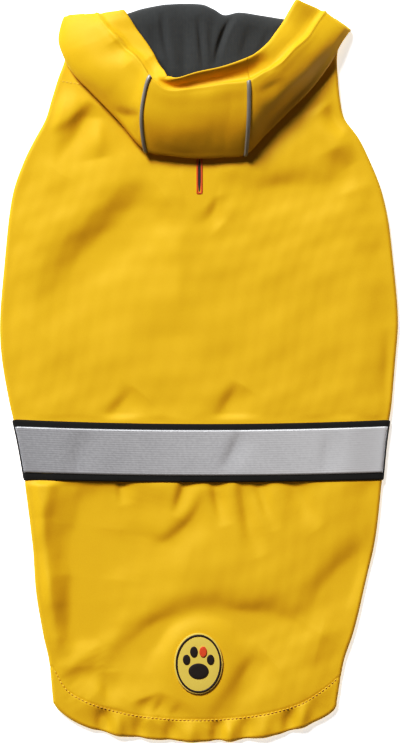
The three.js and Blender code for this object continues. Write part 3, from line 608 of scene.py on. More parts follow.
def add_node(
    tree: bpy.types.NodeTree, kind: str, inputs: dict | None = None, **settings: object
) -> bpy.types.Node:
    """Add a shader node, set its properties, and set or link its inputs.

    Args:
        tree: The material's node tree.
        kind: The node's type.
        inputs: Values or output sockets by input name or number.
        **settings: The node's properties.

    Returns:
        The node.
    """
    node = tree.nodes.new(kind)
    for key, value in settings.items():
        setattr(node, key, value)
    for key, value in (inputs or {}).items():
        if isinstance(value, bpy.types.NodeSocket):
            tree.links.new(value, node.inputs[key])
        else:
            node.inputs[key].default_value = value
    return node


class Weave(Enum):
    """How a material's fine surface is made."""

    PLAIN = "plain weave"
    KNIT = "knit"
    RIBS = "ribbed elastic"
    LINES = "woven reflective lines"
    BEADS = "reflective beads"
    MOULDED = "moulded rubber"
    TWIST = "twisted thread"


@dataclass(frozen=True)
class Finish:
    """One real material: colours, gloss and the scale of its fine surface in millimetres.

    The patch is the width of its cloudy patches and the blend how strongly they show. The painted
    highlight is how far its colour goes over to the other one across the cloth: a painted gleam along
    x.
    """

    name: str
    weave: Weave
    colour: str
    other: str
    pitch: float
    depth: float
    roughness: float
    ior: float = 1.5
    metallic: float = 0.0
    sheen: float = 0.0
    sheen_roughness: float = 0.5
    patch: float = 22.0
    blend: float = 0.5
    painted_highlight: float = 0.0


# Polyurethane on woven polyester. The weave breaks the satin coating up, so it gleams less than
# smooth polyurethane, whose IOR is 1.5, and is given 1.4.
RAINCLOTH = Finish(
    "polyurethane_coated_polyester", Weave.PLAIN, "#e4ba1f", "#dbad1b", 0.42, 0.045, 0.55, 1.4,
)
# Brushed polyester jersey: fibres scatter, so it is rough and has a soft sheen.
JERSEY = Finish(
    "polyester_jersey", Weave.KNIT, "#454848", "#383b3b", 1.15, 0.12, 0.92, 1.45,
    sheen=0.25, sheen_roughness=0.6,
)
# Woven elastic, black polyester over rubber: matte ribs that catch a little light.
ELASTIC = Finish(
    "woven_elastic", Weave.RIBS, "#1b1b18", "#111110", 0.9, 0.12, 0.8, 1.45, sheen=0.08,
)
# Glass-bead reflective yarn: greyish, with a satin metallic gloss, and painted lighter toward the
# band's right end as a painted highlight.
REFLECTIVE_TAPE = Finish(
    "reflective_woven_tape", Weave.LINES, "#a9abae", "#d2d4d6", 0.75, 0.05, 0.42, 1.5,
    metallic=0.3, blend=0.3, painted_highlight=0.8,
)
# The same beads on the piping's fine tape: an even, duller grey.
PIPING_TAPE = Finish(
    "reflective_piping_tape", Weave.BEADS, "#98958d", "#a6a39b", 0.5, 0.04, 0.45, 1.5,
    metallic=0.3,
)
# Spun polyester thread: twisted plies with a faint gleam.
ORANGE_THREAD = Finish(
    "orange_polyester_thread", Weave.TWIST, "#e8743a", "#d9622b", 0.35, 0.06, 0.6, 1.5, sheen=0.1,
)
YELLOW_THREAD = Finish(
    "yellow_polyester_thread", Weave.TWIST, "#f2cd62", "#e6ba45", 0.35, 0.06, 0.6, 1.5, sheen=0.1,
)
GREY_THREAD = Finish(
    "grey_polyester_thread", Weave.TWIST, "#3a3c3b", "#2c2e2d", 0.35, 0.06, 0.65, 1.5, sheen=0.1,
)
# Soft PVC rubber, moulded with a matte grain: IOR about 1.53.
CREAM_RUBBER = Finish(
    "cream_moulded_rubber", Weave.MOULDED, "#e0c96a", "#d8c05f", 0.6, 0.03, 0.55, 1.53,
)
DARK_RUBBER = Finish(
    "dark_moulded_rubber", Weave.MOULDED, "#2c2019", "#241a14", 0.6, 0.03, 0.5, 1.53,
)
ORANGE_RUBBER = Finish(
    "orange_moulded_rubber", Weave.MOULDED, "#dd6030", "#d0562a", 0.6, 0.03, 0.5, 1.53,
)


@dataclass(frozen=True)
class Bands:
    """Bands of a weave: pitch as a share of the finish's, direction and how far they waver."""

    pitch: float
    direction: str
    waver: float


# How each weave's two sets of bands are put together.
WEAVES = {
    Weave.PLAIN: ("MULTIPLY", Bands(1, "X", 0.3), Bands(1.15, "Y", 0.3)),
    Weave.KNIT: ("ADD", Bands(1, "X", 0.6), Bands(0.8, "DIAGONAL", 0.8)),
    Weave.RIBS: ("ADD", Bands(1, "Y", 0.2), Bands(1.4, "X", 0.2)),
    Weave.LINES: ("ADD", Bands(2.4, "Y", 0.15), Bands(1, "X", 0.2)),
}
TWISTED = Bands(1, "DIAGONAL", 0.0)


def wave(tree: bpy.types.NodeTree, vector: Socket, pitch: float, bands: Bands) -> Socket:
    """Bands from 0 to 1.

    Args:
        tree: The material's node tree.
        vector: Cloth coordinates in millimetres.
        pitch: The finish's pitch in millimetres.
        bands: What the bands are like.

    Returns:
        Their height, a sine of 2 pi times the place over the pitch.
    """
    scale = 0.1 * math.pi / (pitch * bands.pitch)
    inputs = {"Vector": vector, "Scale": scale, "Distortion": bands.waver}
    node = add_node(tree, "ShaderNodeTexWave", inputs, bands_direction=bands.direction)
    return node.outputs["Fac"]


def math_node(
    tree: bpy.types.NodeTree, operation: str, a: Socket | float, b: Socket | float
) -> Socket:
    """One arithmetic step."""
    return add_node(tree, "ShaderNodeMath", {0: a, 1: b}, operation=operation).outputs[0]


def fine_height(tree: bpy.types.NodeTree, vector: Socket, finish: Finish) -> Socket:
    """Height of a material's weave, ribs or grain.

    Args:
        tree: The material's node tree.
        vector: Cloth coordinates in millimetres.
        finish: The real material.

    Returns:
        The product or sum of two waves, one wave, bead cells or noise, by the weave.
    """
    if finish.weave in WEAVES:
        operation, *both = WEAVES[finish.weave]
        first, second = (wave(tree, vector, finish.pitch, bands) for bands in both)
        return math_node(tree, operation, first, second)
    if finish.weave is Weave.TWIST:
        return wave(tree, vector, finish.pitch, TWISTED)
    scale = {"Vector": vector, "Scale": 1 / finish.pitch}
    if finish.weave is Weave.BEADS:
        return add_node(tree, "ShaderNodeTexVoronoi", scale).outputs["Distance"]
    return add_node(tree, "ShaderNodeTexNoise", {**scale, "Detail": 2.0}).outputs["Fac"]


@dataclass(frozen=True)
class Mixing:
    """How a material's two colours, gloss and relief vary.

    The colours mix by an offset and shares of the flecks and of the fine height. The painted
    highlight runs over its width from its start, and the flecks are so many pitches wide.
    """

    offset: float = -0.25
    fleck_share: float = 0.5
    height_share: float = 0.2
    painted_highlight_width: float = 300.0
    painted_highlight_start: float = -0.3
    fleck_width: float = 3
    gloss_spread: float = 0.05
    relief: float = 0.6


MIXING = Mixing()


def mixed_tone(
    tree: bpy.types.NodeTree, uv: Socket, height: Socket, fleck: Socket, finish: Finish
) -> Socket:
    """How far a material turns from its first colour to its other one.

    Args:
        tree: The material's node tree.
        uv: Cloth coordinates in millimetres.
        height: Height of its fine surface.
        fleck: Its fine flecks.
        finish: The real material.

    Returns:
        Shares of broad clouds, flecks and height, and the painted highlight across the cloth, added
        up.
    """
    broad = {"Vector": uv, "Scale": 1 / finish.patch, "Detail": 4.0, "Roughness": 0.6}
    cloudy = add_node(tree, "ShaderNodeTexNoise", broad).outputs["Fac"]
    parts = {0: cloudy, 1: finish.blend, 2: MIXING.offset}
    tone = add_node(tree, "ShaderNodeMath", parts, operation="MULTIPLY_ADD").outputs[0]
    for part, share in ((fleck, MIXING.fleck_share), (height, MIXING.height_share)):
        tone = math_node(tree, "ADD", tone, math_node(tree, "MULTIPLY", part, share))
    # Painted highlight: the colour turns toward the other, lighter one along the cloth's x, as a
    # gleam.
    if finish.painted_highlight:
        across = add_node(tree, "ShaderNodeSeparateXYZ", {0: uv}).outputs["X"]
        ends = {0: across, 1: 0.0, 2: MIXING.painted_highlight_width, 3: MIXING.painted_highlight_start, 4: finish.painted_highlight}
        span = add_node(tree, "ShaderNodeMapRange", ends)
        tone = math_node(tree, "ADD", tone, span.outputs[0])
    return tone


def make_material(finish: Finish) -> bpy.types.Material:
    """Procedural material of a finish, on the cloth coordinates in millimetres.

    Args:
        finish: The real material.

    Returns:
        The Blender material.
    """
    material = bpy.data.materials.new(finish.name)
    material.use_nodes = True
    tree = material.node_tree
    tree.nodes.clear()
    uv = add_node(tree, "ShaderNodeUVMap", uv_map=UV_NAME).outputs["UV"]
    height = fine_height(tree, uv, finish)
    grain = {"Vector": uv, "Scale": 1 / (MIXING.fleck_width * finish.pitch), "Detail": 2.0}
    fleck = add_node(tree, "ShaderNodeTexNoise", grain).outputs["Fac"]
    tone = mixed_tone(tree, uv, height, fleck, finish)
    stops = {0: tone, 6: linear(finish.colour), 7: linear(finish.other)}
    colour = add_node(tree, "ShaderNodeMix", stops, data_type="RGBA", clamp_factor=True)
    low, high = finish.roughness - MIXING.gloss_spread, finish.roughness + MIXING.gloss_spread
    dull = {0: fleck, 1: 0.0, 2: 1.0, 3: low, 4: high}
    roughness = add_node(tree, "ShaderNodeMapRange", dull).outputs[0]
    relief = {"Height": height, "Distance": finish.depth * MM, "Strength": MIXING.relief}
    bump = add_node(tree, "ShaderNodeBump", relief)
    shader = add_node(
        tree,
        "ShaderNodeBsdfPrincipled",
        {
            "Base Color": colour.outputs[2],
            "Roughness": roughness,
            "IOR": finish.ior,
            "Metallic": finish.metallic,
            "Sheen Weight": finish.sheen,
            "Sheen Roughness": finish.sheen_roughness,
            "Normal": bump.outputs["Normal"],
        },
    )
    add_node(tree, "ShaderNodeOutputMaterial", {"Surface": shader.outputs[0]})
    return material


class Materials:
    """Materials made once and shared by the pieces."""

    def __init__(self) -> None:
        """Start without any."""
        self._made: dict[str, bpy.types.Material] = {}

    def of(self, finish: Finish) -> bpy.types.Material:
        """Material of a finish, made the first time it is asked for."""
        if finish.name not in self._made:
            self._made[finish.name] = make_material(finish)
        return self._made[finish.name]


# Back panel


@dataclass(frozen=True)
class PanelSize:
    """Sizes of the back panel's form, and how much of each fold it takes up."""

    fold_radius: float = 2.5
    # Lowest height and how sharply it is kept, the crown's height and its reach from the edge.
    lowest: float = 2.7
    sharpness: float = 2
    crown: float = 6.6
    crown_reach: float = 32
    # Share of the folds, what is left of it at the edge, and distances between which it grows.
    fold_share: float = 1.3
    edge_share: float = 0.3
    edge_reach: tuple[float, float] = (1, 12)
    # Share of the casing's gathers, and their half waves from the seam to the hem.
    gather_share: float = 2.8
    gather_turns: float = 0.75
    seam_dip: float = 0.5
    # Points on each side over which the edge's direction is evened out.
    smoothing: int = 10
    side_turn: float = 8
    casing_depth: float = 17
    casing_start_y: float = -190
    casing_full_y: float = -235
    hem_ends: tuple[float, float] = (-114.4, 108)
    casing_ends: tuple[float, float] = (-117.1, 111.1)
    columns: int = 210
    fold_steps: int = 10
    turn_steps: int = 4


@dataclass(frozen=True)
class CrossLine:
    """A line across the back panel: y at its sides, bow in the middle, rows to the next."""

    left: float
    right: float
    bow: float
    rows: int


@dataclass(frozen=True)
class Oval:
    """An oval in plan: its middle and half sizes."""

    x: float
    y: float
    half_width: float
    half_length: float

    def distance(self, x: np.ndarray, y: np.ndarray) -> np.ndarray:
        """Distance from its middle in its own size: 1 on the oval."""
        return np.hypot((x - self.x) / self.half_width, (y - self.y) / self.half_length)


CROSS_LINES = {
    "neckline": CrossLine(255, 258, -50, 180),
    "band_top": CrossLine(-39, -39.4, -3.4, 6),
    "tape_top": CrossLine(-44.4, -44.4, -3, 24),
    "tape_bottom": CrossLine(-81.4, -81.4, -2.4, 6),
    "band_bottom": CrossLine(-87.2, -87, -1.4, 120),
}
CASING_ROWS = 16
BADGE = Oval(-0.4, -234, 19.5, 24.5)
SLIT_CALM = Oval(0.4, 156, 12, 26)
# Distances, in the ovals' sizes, between which the folds set in round badge and buttonhole.
BADGE_FADE, SLIT_FADE = (1.0, 2.3), (1, 1.5)
# Distances from the band's edges between which the folds set in.
BAND_FADE = (-1, 5)


@dataclass(frozen=True)
class HoodWeight:
    """Where the hood's weight starts: y in the middle, rise beyond a half width, soft edge."""

    y: float = 172
    rise: float = 1.2
    half_width: float = 38
    edge: float = 14


HOOD_WEIGHT = HoodWeight()


class BackSurface:
    """Fine outer surface of the back panel, its fold all round and the turning under it."""

    def __init__(self, size: PanelSize) -> None:
        """Work the surface out: the top, then its fold all round and the turning.

        Args:
            size: The panel's sizes.
        """
        self.size = size
        plan = self._plan()
        x, y = plan[..., 0], plan[..., 1]
        top = np.dstack([x, y, self.height(x, y)])
        top[-CASING_ROWS - 1, :, 2] -= size.seam_dip
        rows, columns = x.shape
        grid = np.arange(rows * columns).reshape(rows, columns)
        rim = np.concatenate([grid[:, 0], grid[-1, 1:], grid[-2::-1, -1]])
        top_flat, plan_flat = top.reshape(-1, 3), plan.reshape(-1, 2)
        around, around_uv = self._fold(top_flat[rim], plan_flat[rim])
        ring = top_flat.shape[0] + np.arange(around.shape[0] * around.shape[1])
        self.ring = np.concatenate([rim[:, None], ring.reshape(around.shape[:2])], axis=1)
        self.grid = grid
        points = np.concatenate([top_flat, around.reshape(-1, 3)])
        uv = np.concatenate([plan_flat, around_uv.reshape(-1, 2)])
        quads = np.concatenate([quads_of(grid), quads_of(self.ring[:, ::-1])])
        self.surface = Surface(points, quads, uv)
        self.normals = self.surface.normals()

    @staticmethod
    def side(y: np.ndarray, column: int) -> np.ndarray:
        """X of the left (1) or right (2) side at a height."""
        return look_up(SIDES[:, 0], SIDES[:, column], y)

    @staticmethod
    def hem_y(x: np.ndarray) -> np.ndarray:
        """Y of the tail edge."""
        return look_up(HEM[:, 0], HEM[:, 1], np.clip(x, HEM[0, 0], HEM[-1, 0]))

    @staticmethod
    def casing_y(x: np.ndarray) -> np.ndarray:
        """Y of the casing's seam."""
        return look_up(CASING_SEAM[:, 0], CASING_SEAM[:, 1], x)

    def freedom(self, x: np.ndarray, y: np.ndarray) -> np.ndarray:
        """How free the cloth is to fold.

        Args:
            x: Places in plan.
            y: Places in plan.

        Returns:
            0 where the hood, band, badge or buttonhole holds it smooth and 1 elsewhere, the
            product of a smooth rise away from each.
        """
        weight = HOOD_WEIGHT
        hood_y = weight.y + weight.rise * np.maximum(0, np.abs(x) - weight.half_width)
        hood = 1 - smoothstep(y, hood_y - weight.edge, hood_y)
        top, bottom = CROSS_LINES["band_top"].left, CROSS_LINES["band_bottom"].left
        half = (top - bottom) / 2
        low, high = (half + reach for reach in BAND_FADE)
        band = smoothstep(np.abs(y - (top + bottom) / 2), low, high)
        badge = smoothstep(BADGE.distance(x, y), *BADGE_FADE)
        slit = smoothstep(SLIT_CALM.distance(x, y), *SLIT_FADE)
        return hood * band * badge * slit

    def height(self, x: np.ndarray, y: np.ndarray) -> np.ndarray:
        """Height of the panel's outer side.

        Args:
            x: Places in plan.
            y: Places in plan.

        Returns:
            The crown with its folds, band folds and gathers, kept smoothly above the lowest
            height by the logarithm of a sum of exponentials.
        """
        size = self.size
        edge = np.minimum(np.minimum(x - self.side(y, 1), self.side(y, 2) - x), y - self.hem_y(x))
        crown = smoothstep(edge, size.fold_radius, size.crown_reach)
        depth = np.clip((self.casing_y(x) - y) / size.casing_depth, 0, 1)
        bells = sum(rise * bell(x - px, width) for px, width, rise in PUCKERS)
        pucker = bells * np.sin(size.gather_turns * math.pi * depth)
        folds = (crease_rise(CREASES, x, y) + ripple(x, y)) * self.freedom(x, y)
        plain = lerp(2 * size.fold_radius, size.crown, crown)
        held = lerp(size.edge_share, 1, smoothstep(edge, *size.edge_reach))
        bends = crease_rise(BAND_CREASES, x, y)
        height = plain + size.fold_share * folds * held + bends + size.gather_share * pucker
        above = np.logaddexp(0, size.sharpness * (height - size.lowest)) / size.sharpness
        return size.lowest + above

    def _line(self, left: float, right: float, bow: float) -> np.ndarray:
        """Places along one line across the panel.

        Args:
            left: Y of its left end.
            right: Y of its right end.
            bow: How far its middle lies off the straight line, as a parabola.

        Returns:
            The places in plan.
        """
        u = np.linspace(0, 1, self.size.columns + 1)
        start = self.side(np.array(left), 1) + self.size.fold_radius
        end = self.side(np.array(right), 2) - self.size.fold_radius
        y = lerp(left, right, u) + bow * 4 * u * (1 - u)
        return np.stack([lerp(start, end, u), y], axis=-1)

    def _between(self, upper: np.ndarray, lower: np.ndarray, f: float) -> np.ndarray:
        """Places part of the way between two lines, with their ends set on the sides.

        Args:
            upper: Places along the upper line.
            lower: Places along the lower one.
            f: The part of the way.

        Returns:
            The places in plan.
        """
        row = lerp(upper, lower, f)
        left = self.side(row[0, 1], 1) + self.size.fold_radius - row[0, 0]
        right = self.side(row[-1, 1], 2) - self.size.fold_radius - row[-1, 0]
        row[:, 0] += lerp(left, right, np.linspace(0, 1, len(row)))
        return row

    def _plan(self) -> np.ndarray:
        """Places in plan of the panel's grid.

        Returns:
            Places of shape (rows, columns, 2), from the neckline down to the hem, with rows on
            the band's edges and on the casing's seam.
        """
        u = np.linspace(0, 1, self.size.columns + 1)
        casing_x, hem_x = (lerp(*ends, u) for ends in (self.size.casing_ends, self.size.hem_ends))
        casing = np.stack([casing_x, self.casing_y(casing_x)], axis=-1)
        hem = np.stack([hem_x, self.hem_y(hem_x) + self.size.fold_radius], axis=-1)
        lines = list(CROSS_LINES.values())
        rows = []
        for line, below in zip(lines, lines[1:]):
            ends = ((line.left, below.left), (line.right, below.right), (line.bow, below.bow))
            steps = np.arange(line.rows) / line.rows
            rows += [self._line(*(lerp(*pair, f) for pair in ends)) for f in steps]
        last = lines[-1]
        start = self._line(last.left, last.right, last.bow)
        rows += [self._between(start, casing, f) for f in np.arange(last.rows) / last.rows]
        rows += [self._between(casing, hem, f) for f in np.linspace(0, 1, CASING_ROWS + 1)]
        return np.array(rows)

    def _fold(self, rim: np.ndarray, uv: np.ndarray) -> tuple[np.ndarray, np.ndarray]:
        """Carry the rim round the fold and under the panel, down to the floor.

        Args:
            rim: Points of the top's edge, from the neckline round the tail and back.
            uv: Their cloth coordinates.

        Returns:
            Points and cloth coordinates of shape (rim, steps, 3 or 2): a half circle about half
            the rim's height, then the flat turning.
        """
        size = self.size
        before = rim[np.maximum(np.arange(len(rim)) - 1, 0)]
        after = rim[np.minimum(np.arange(len(rim)) + 1, len(rim) - 1)]
        out = np.stack([after[:, 1] - before[:, 1], before[:, 0] - after[:, 0]], axis=-1)
        reach = size.smoothing
        padded = np.pad(unit(out), ((reach, reach), (0, 0)), mode="edge")
        kernel = np.ones(2 * reach + 1) / (2 * reach + 1)
        out = np.stack([np.convolve(padded[:, k], kernel, "valid") for k in range(2)], axis=-1)
        out = unit(out)
        radius = rim[:, 2] / 2
        rings, coords = [], []
        for step in range(1, size.fold_steps + 1):
            angle = math.pi * step / size.fold_steps
            place = rim[:, :2] + out * (radius * math.sin(angle))[:, None]
            rings.append(np.column_stack([place, radius * (1 + math.cos(angle))]))
            coords.append(uv + out * (radius * angle)[:, None])
        hem = 1 - smoothstep(rim[:, 1], size.casing_full_y, size.casing_start_y)
        turn = lerp(size.side_turn, size.casing_depth - size.fold_radius, hem)
        for step in range(1, size.turn_steps + 1):
            inward = turn * step / size.turn_steps
            place = rim[:, :2] - out * inward[:, None]
            rings.append(np.column_stack([place, np.zeros(len(rim))]))
            coords.append(uv + out * (radius * math.pi + inward)[:, None])
        return np.stack(rings, axis=1), np.stack(coords, axis=1)

    def rows_between(self, first: str, last: str, fold_steps: int) -> tuple[Surface, np.ndarray]:
        """Stretch of the surface between two cross lines, out to a step of the side fold.

        Args:
            first: Name of the upper cross line.
            last: Name of the lower one.
            fold_steps: Steps of the fold that it follows on each side.

        Returns:
            The stretch and its normals.
        """
        names, counts = list(CROSS_LINES), [line.rows for line in CROSS_LINES.values()]
        start, end = (sum(counts[: names.index(name)]) for name in (first, last))
        rows = np.arange(start, end + 1)
        left = self.ring[rows, 1 : fold_steps + 1][:, ::-1]
        right = self.ring[len(self.ring) - 1 - rows, 1 : fold_steps + 1]
        numbers = np.concatenate([left, self.grid[rows], right], axis=1)
        points = self.surface.points[numbers]
        stretch = grid_surface(points, np.dstack([run_along(points, 1), -run_along(points, 0)]))
        return stretch, self.normals[numbers].reshape(-1, 3)

    def path(self, plan: np.ndarray) -> np.ndarray:
        """Points of the panel's top along places in plan."""
        return np.column_stack([plan, self.height(plan[:, 0], plan[:, 1])])


class BackPanel:
    """The coated cloth back with its casing, and its stitching."""

    HEM_STITCH = Stitch(3.2, 2.3, 0.75, 0.25)
    SHOULDER_STITCH = Stitch(2.9, 2.1, 0.7, 0.15)
    TURNING_STITCH = Stitch(3.2, 2.5, 0.5, 0.0)
    # First and last place of each stitched run, and points along it.
    CASING_RUN = (-115.5, 110, 240)
    SHOULDER_RUN = ((-110, 231.5), (-95, 229), 12)
    # Sets the threads under the turning into its cloth.
    TURNING_LIFT = (0, 0, 0.15)

    def __init__(self, back: BackSurface, materials: Materials) -> None:
        """Keep the surface that it is made on and its materials."""
        self.back, self.materials = back, materials

    def build(self) -> None:
        cloth = add_mesh("back_panel_cloth", self.back.surface, self.materials.of(RAINCLOTH))
        place_piece(cloth, "raincloth", ("back_panel",))
        threads = add_mesh("back_stitching", self._stitches(), self.materials.of(YELLOW_THREAD))
        place_piece(threads, "raincloth")
        LOG.info("back panel area %.4f", self.back.surface.area())

    def _stitches(self) -> Surface:
        """Rows of threads.

        Returns:
            Those along the casing's seam, at the left shoulder and under the turned sides.
        """
        back = self.back
        x = np.linspace(*self.CASING_RUN)
        seam = back.path(np.column_stack([x, back.casing_y(x)]))
        shoulder = back.path(np.linspace(*self.SHOULDER_RUN))
        turning = back.surface.points[back.ring[:, -2]] + self.TURNING_LIFT
        return join(
            [
                stitch_row(seam, UP, self.HEM_STITCH),
                stitch_row(shoulder, UP, self.SHOULDER_STITCH),
                stitch_row(turning, DOWN, self.TURNING_STITCH),
            ]
        )


# Jersey


@dataclass(frozen=True)
class BellySize:
    """Sizes of the belly panel, and steps along its outline."""

    front_y: float = 277
    front_half: float = 96
    corner: float = 14
    rear_y: float = -205
    arch: float = 46
    wall: float = 1.2
    seam_gap: float = 0.3
    corner_steps: int = 6
    arch_steps: int = 40
    hole_steps: int = 72
    side_stride: int = 6


class BellyPanel:
    """The stretch jersey under the dog, with two leg holes and an arched rear edge."""

    LEG_HOLE = Oval(70, 112, 30, 42)
    HOLE_STITCH = Stitch(3, 2.2, 0.5, 0)
    # Size of the stitched oval in leg holes, and its height over the floor.
    STITCH_REACH = 1.16
    STITCH_HEIGHT = 0.12

    def __init__(self, back: BackSurface, materials: Materials, size: BellySize) -> None:
        """Keep the back's surface, the materials and the sizes."""
        self.back, self.materials, self.size = back, materials, size

    @staticmethod
    def _curve(start: Place, middle: Place, end: Place, count: int) -> np.ndarray:
        """So many points of a quadratic curve, without its first."""
        return quadratic(start, middle, end, np.linspace(0, 1, count + 1)[1:, None])

    def _outline(self) -> np.ndarray:
        """Outline in plan, from the front's left corner down the left side and back.

        Returns:
            Places just inside the turned sides, with an arch between their rear ends.
        """
        size = self.size
        seam, fold, rim = (self.back.surface.points[self.back.ring[:, k]] for k in (-1, -2, 0))
        inside = seam[:, :2] + unit(seam[:, :2] - fold[:, :2]) * size.seam_gap
        half = len(inside) // 2
        kept = rim[:, 1] > size.rear_y
        left = inside[:half][kept[:half]][:: size.side_stride]
        right = inside[half:][kept[half:]][:: size.side_stride]
        apex = (left[-1] + right[0]) / 2 + [0, 2 * size.arch]
        x, y, corner = size.front_half, size.front_y, size.corner
        return np.concatenate(
            [
                self._curve((-x + corner, y), (-x, y), (-x, y - corner), size.corner_steps),
                left,
                self._curve(left[-1], apex, right[0], size.arch_steps),
                right[1:],
                self._curve((x, y - corner), (x, y), (x - corner, y), size.corner_steps),
            ]
        )

    def _hole(self, side: int) -> np.ndarray:
        """Outline of one leg hole.

        Args:
            side: -1 for the left one, 1 for the right one.

        Returns:
            Places in plan round an ellipse.
        """
        angle = np.linspace(0, 2 * np.pi, self.size.hole_steps, endpoint=False)
        hole = self.LEG_HOLE
        x = side * hole.x + hole.half_width * np.cos(angle)
        return np.column_stack([x, hole.y + hole.half_length * np.sin(angle)])

    def _filled(self) -> bpy.types.Mesh:
        """Flat slab inside the outline and outside the leg holes.

        Returns:
            The mesh, resting on the floor.
        """
        half = self.size.wall / 2 * MM
        curve = bpy.data.curves.new("belly_outline", "CURVE")
        curve.dimensions = "2D"
        curve.fill_mode = "BOTH"
        curve.extrude = half
        for loop in (self._outline(), self._hole(-1), self._hole(1)):
            spline = curve.splines.new("POLY")
            spline.points.add(len(loop) - 1)
            flat = np.column_stack([loop * MM, np.zeros(len(loop)), np.ones(len(loop))])
            spline.points.foreach_set("co", flat.astype(np.float32).ravel())
            spline.use_cyclic_u = True
        holder = bpy.data.objects.new("belly_outline", curve)
        mesh = bpy.data.meshes.new_from_object(holder)
        bpy.data.objects.remove(holder)
        places = np.empty(len(mesh.vertices) * 3, dtype=np.float32)
        mesh.vertices.foreach_get("co", places)
        places = places.reshape(-1, 3)
        places[:, 2] += half
        mesh.vertices.foreach_set("co", places.ravel())
        corners = np.empty(len(mesh.loops), dtype=np.int32)
        mesh.loops.foreach_get("vertex_index", corners)
        layer = mesh.uv_layers.new(name=UV_NAME)
        layer.data.foreach_set("uv", (places[corners, :2] / MM).ravel())
        return mesh

    def build(self) -> None:
        mesh = self._filled()
        mesh.name = "belly_panel_cloth"
        mesh.materials.clear()
        mesh.materials.append(self.materials.of(JERSEY))
        cloth = bpy.data.objects.new("belly_panel_cloth", mesh)
        bpy.context.scene.collection.objects.link(cloth)
        place_piece(cloth, "jersey", ("belly_panel",))
        threads = add_mesh("belly_stitching", self._stitches(), self.materials.of(GREY_THREAD))
        place_piece(threads, "jersey")

    def _stitches(self) -> Surface:
        """Rows of threads.

        Returns:
            Those round the leg holes, on the underside.
        """
        rows = []
        for side in (-1, 1):
            middle = np.array([side * self.LEG_HOLE.x, self.LEG_HOLE.y])
            loop = middle + (self._hole(side) - middle) * self.STITCH_REACH
            loop = np.concatenate([loop, loop[:1]])
            path = np.column_stack([loop, np.full(len(loop), self.STITCH_HEIGHT)])
            rows.append(stitch_row(path, DOWN, self.HOLE_STITCH))
        return join(rows)


@dataclass(frozen=True)
class NeckSize:
    """Sizes of the gathered neck end of the chest panel."""

    floor: float = 1.6
    height: float = 6.6
    edge_height: float = 2.2
    foot_left: tuple[float, float] = (-39, 220)
    foot_right: tuple[float, float] = (55, 241)
    columns: int = 180
    rows: int = 70
    # How steeply it rises at its ends, down and across.
    end_rates: tuple[float, float] = (5, 8)
    # How far the upright folds swing, and the swing's turns down and across.
    swing: tuple[float, float, float] = (0.02, 5, 9)
    fold_share: float = 0.6
    crease_share: float = 1.4
    ripple_share: float = 0.5


class NeckJersey:
    """The neck end of the chest panel, gathered in upright folds inside the hood's opening."""

    def __init__(self, materials: Materials, size: NeckSize) -> None:
        """Keep the materials and the sizes."""
        self.materials, self.size = materials, size

    def _surface(self) -> Surface:
        """Closed rounded heap: folded top over a flat floor.

        Returns:
            The surface. Toward its edges the top falls off as a quarter circle.
        """
        size = self.size
        v, u = np.meshgrid(
            np.linspace(0, 1, size.rows + 1), np.linspace(0, 1, size.columns + 1), indexing="ij"
        )
        top_x = lerp(NECK_TOP[0, 0], NECK_TOP[-1, 0], u)
        foot_x = lerp(size.foot_left[0], size.foot_right[0], u)
        foot_y = lerp(size.foot_left[1], size.foot_right[1], u)
        x = lerp(top_x, foot_x, v)
        y = lerp(look_up(NECK_TOP[:, 0], NECK_TOP[:, 1], top_x), foot_y, v)
        down, across = size.end_rates
        ends = [v * down, (1 - v) * down, u * across, (1 - u) * across]
        edge = np.minimum.reduce([np.ones_like(u), *ends])
        rounded = np.sqrt(1 - (1 - edge) ** 2)
        sway, sway_v, sway_u = size.swing
        place = u + sway * np.sin(sway_v * v + sway_u * u)
        fold = sum(rise * bell(place - at, width) for at, width, rise in NECK_FOLDS)
        fold = size.fold_share * fold + size.crease_share * crease_rise(NECK_CREASES, x, y)
        fold = fold + size.ripple_share * ripple(x, y)
        z = size.floor + lerp(size.edge_height, size.height + fold, rounded)
        upper = grid_surface(np.dstack([x, y, z]), np.dstack([x, y]))
        flat = upper.points.copy()
        flat[:, 2] = size.floor
        span = upper.points[:, 2] - size.floor
        up = np.broadcast_to(UP, flat.shape)
        return wall_over(Surface(flat, upper.quads, upper.uv), up, 0.0, span)

    def build(self) -> None:
        surface = self._surface()
        cloth = add_mesh("neck_jersey_cloth", surface, self.materials.of(JERSEY))
        place_piece(cloth, "jersey", ("neck_jersey",))
        LOG.info("neck jersey area %.4f", surface.area() / 2)


# Hood


@dataclass(frozen=True)
class HoodSize:
    """Seams, walls, piping and folds of the hood, and how finely it is worked out."""

    left_seam: int = 7
    right_seam: int = 11
    wall: float = 1.2
    seam_gap: float = 0.3
    station_step: float = 0.05
    section_step: float = 0.1
    probe: float = 0.01
    # The piping's half width, its ends along the section, points across and heights.
    piping_half: float = 1.8
    piping_from: float = 1.5
    piping_to: float = 6.0
    piping_steps: int = 11
    piping_edge: float = 0.3
    piping_rise: float = 1.2
    piping_foot: float = 0.1
    # Share and shift of the ripples, and places along the section between which folds set in.
    ripple_share: float = 1.1
    ripple_shift: tuple[float, float] = (37, -11)
    fold_start: tuple[float, float] = (2.6, 3.4)
    # Stations between which the strip over the nape sets in and ends, place, half width and
    # depth of its trough, and places between which it rises to the rim.
    nape_start: tuple[float, float] = (4, 6.5)
    nape_end: tuple[float, float] = (11.5, 13.5)
    strip: tuple[float, float, float] = (6.5, 0.3, 2.2)
    strip_end: tuple[float, float] = (7, 8)
    # Stations beside a seam in which the cloth is drawn in, what is left of its folds there, and
    # places along the section between which that ends.
    drawn_reach: float = 0.25
    drawn_least: float = 0.15
    drawn_end: tuple[float, float] = (5.7, 6.3)
    # Places along the section between which the rim's lift sets in.
    lift_from: tuple[float, float] = (6.4, 8)


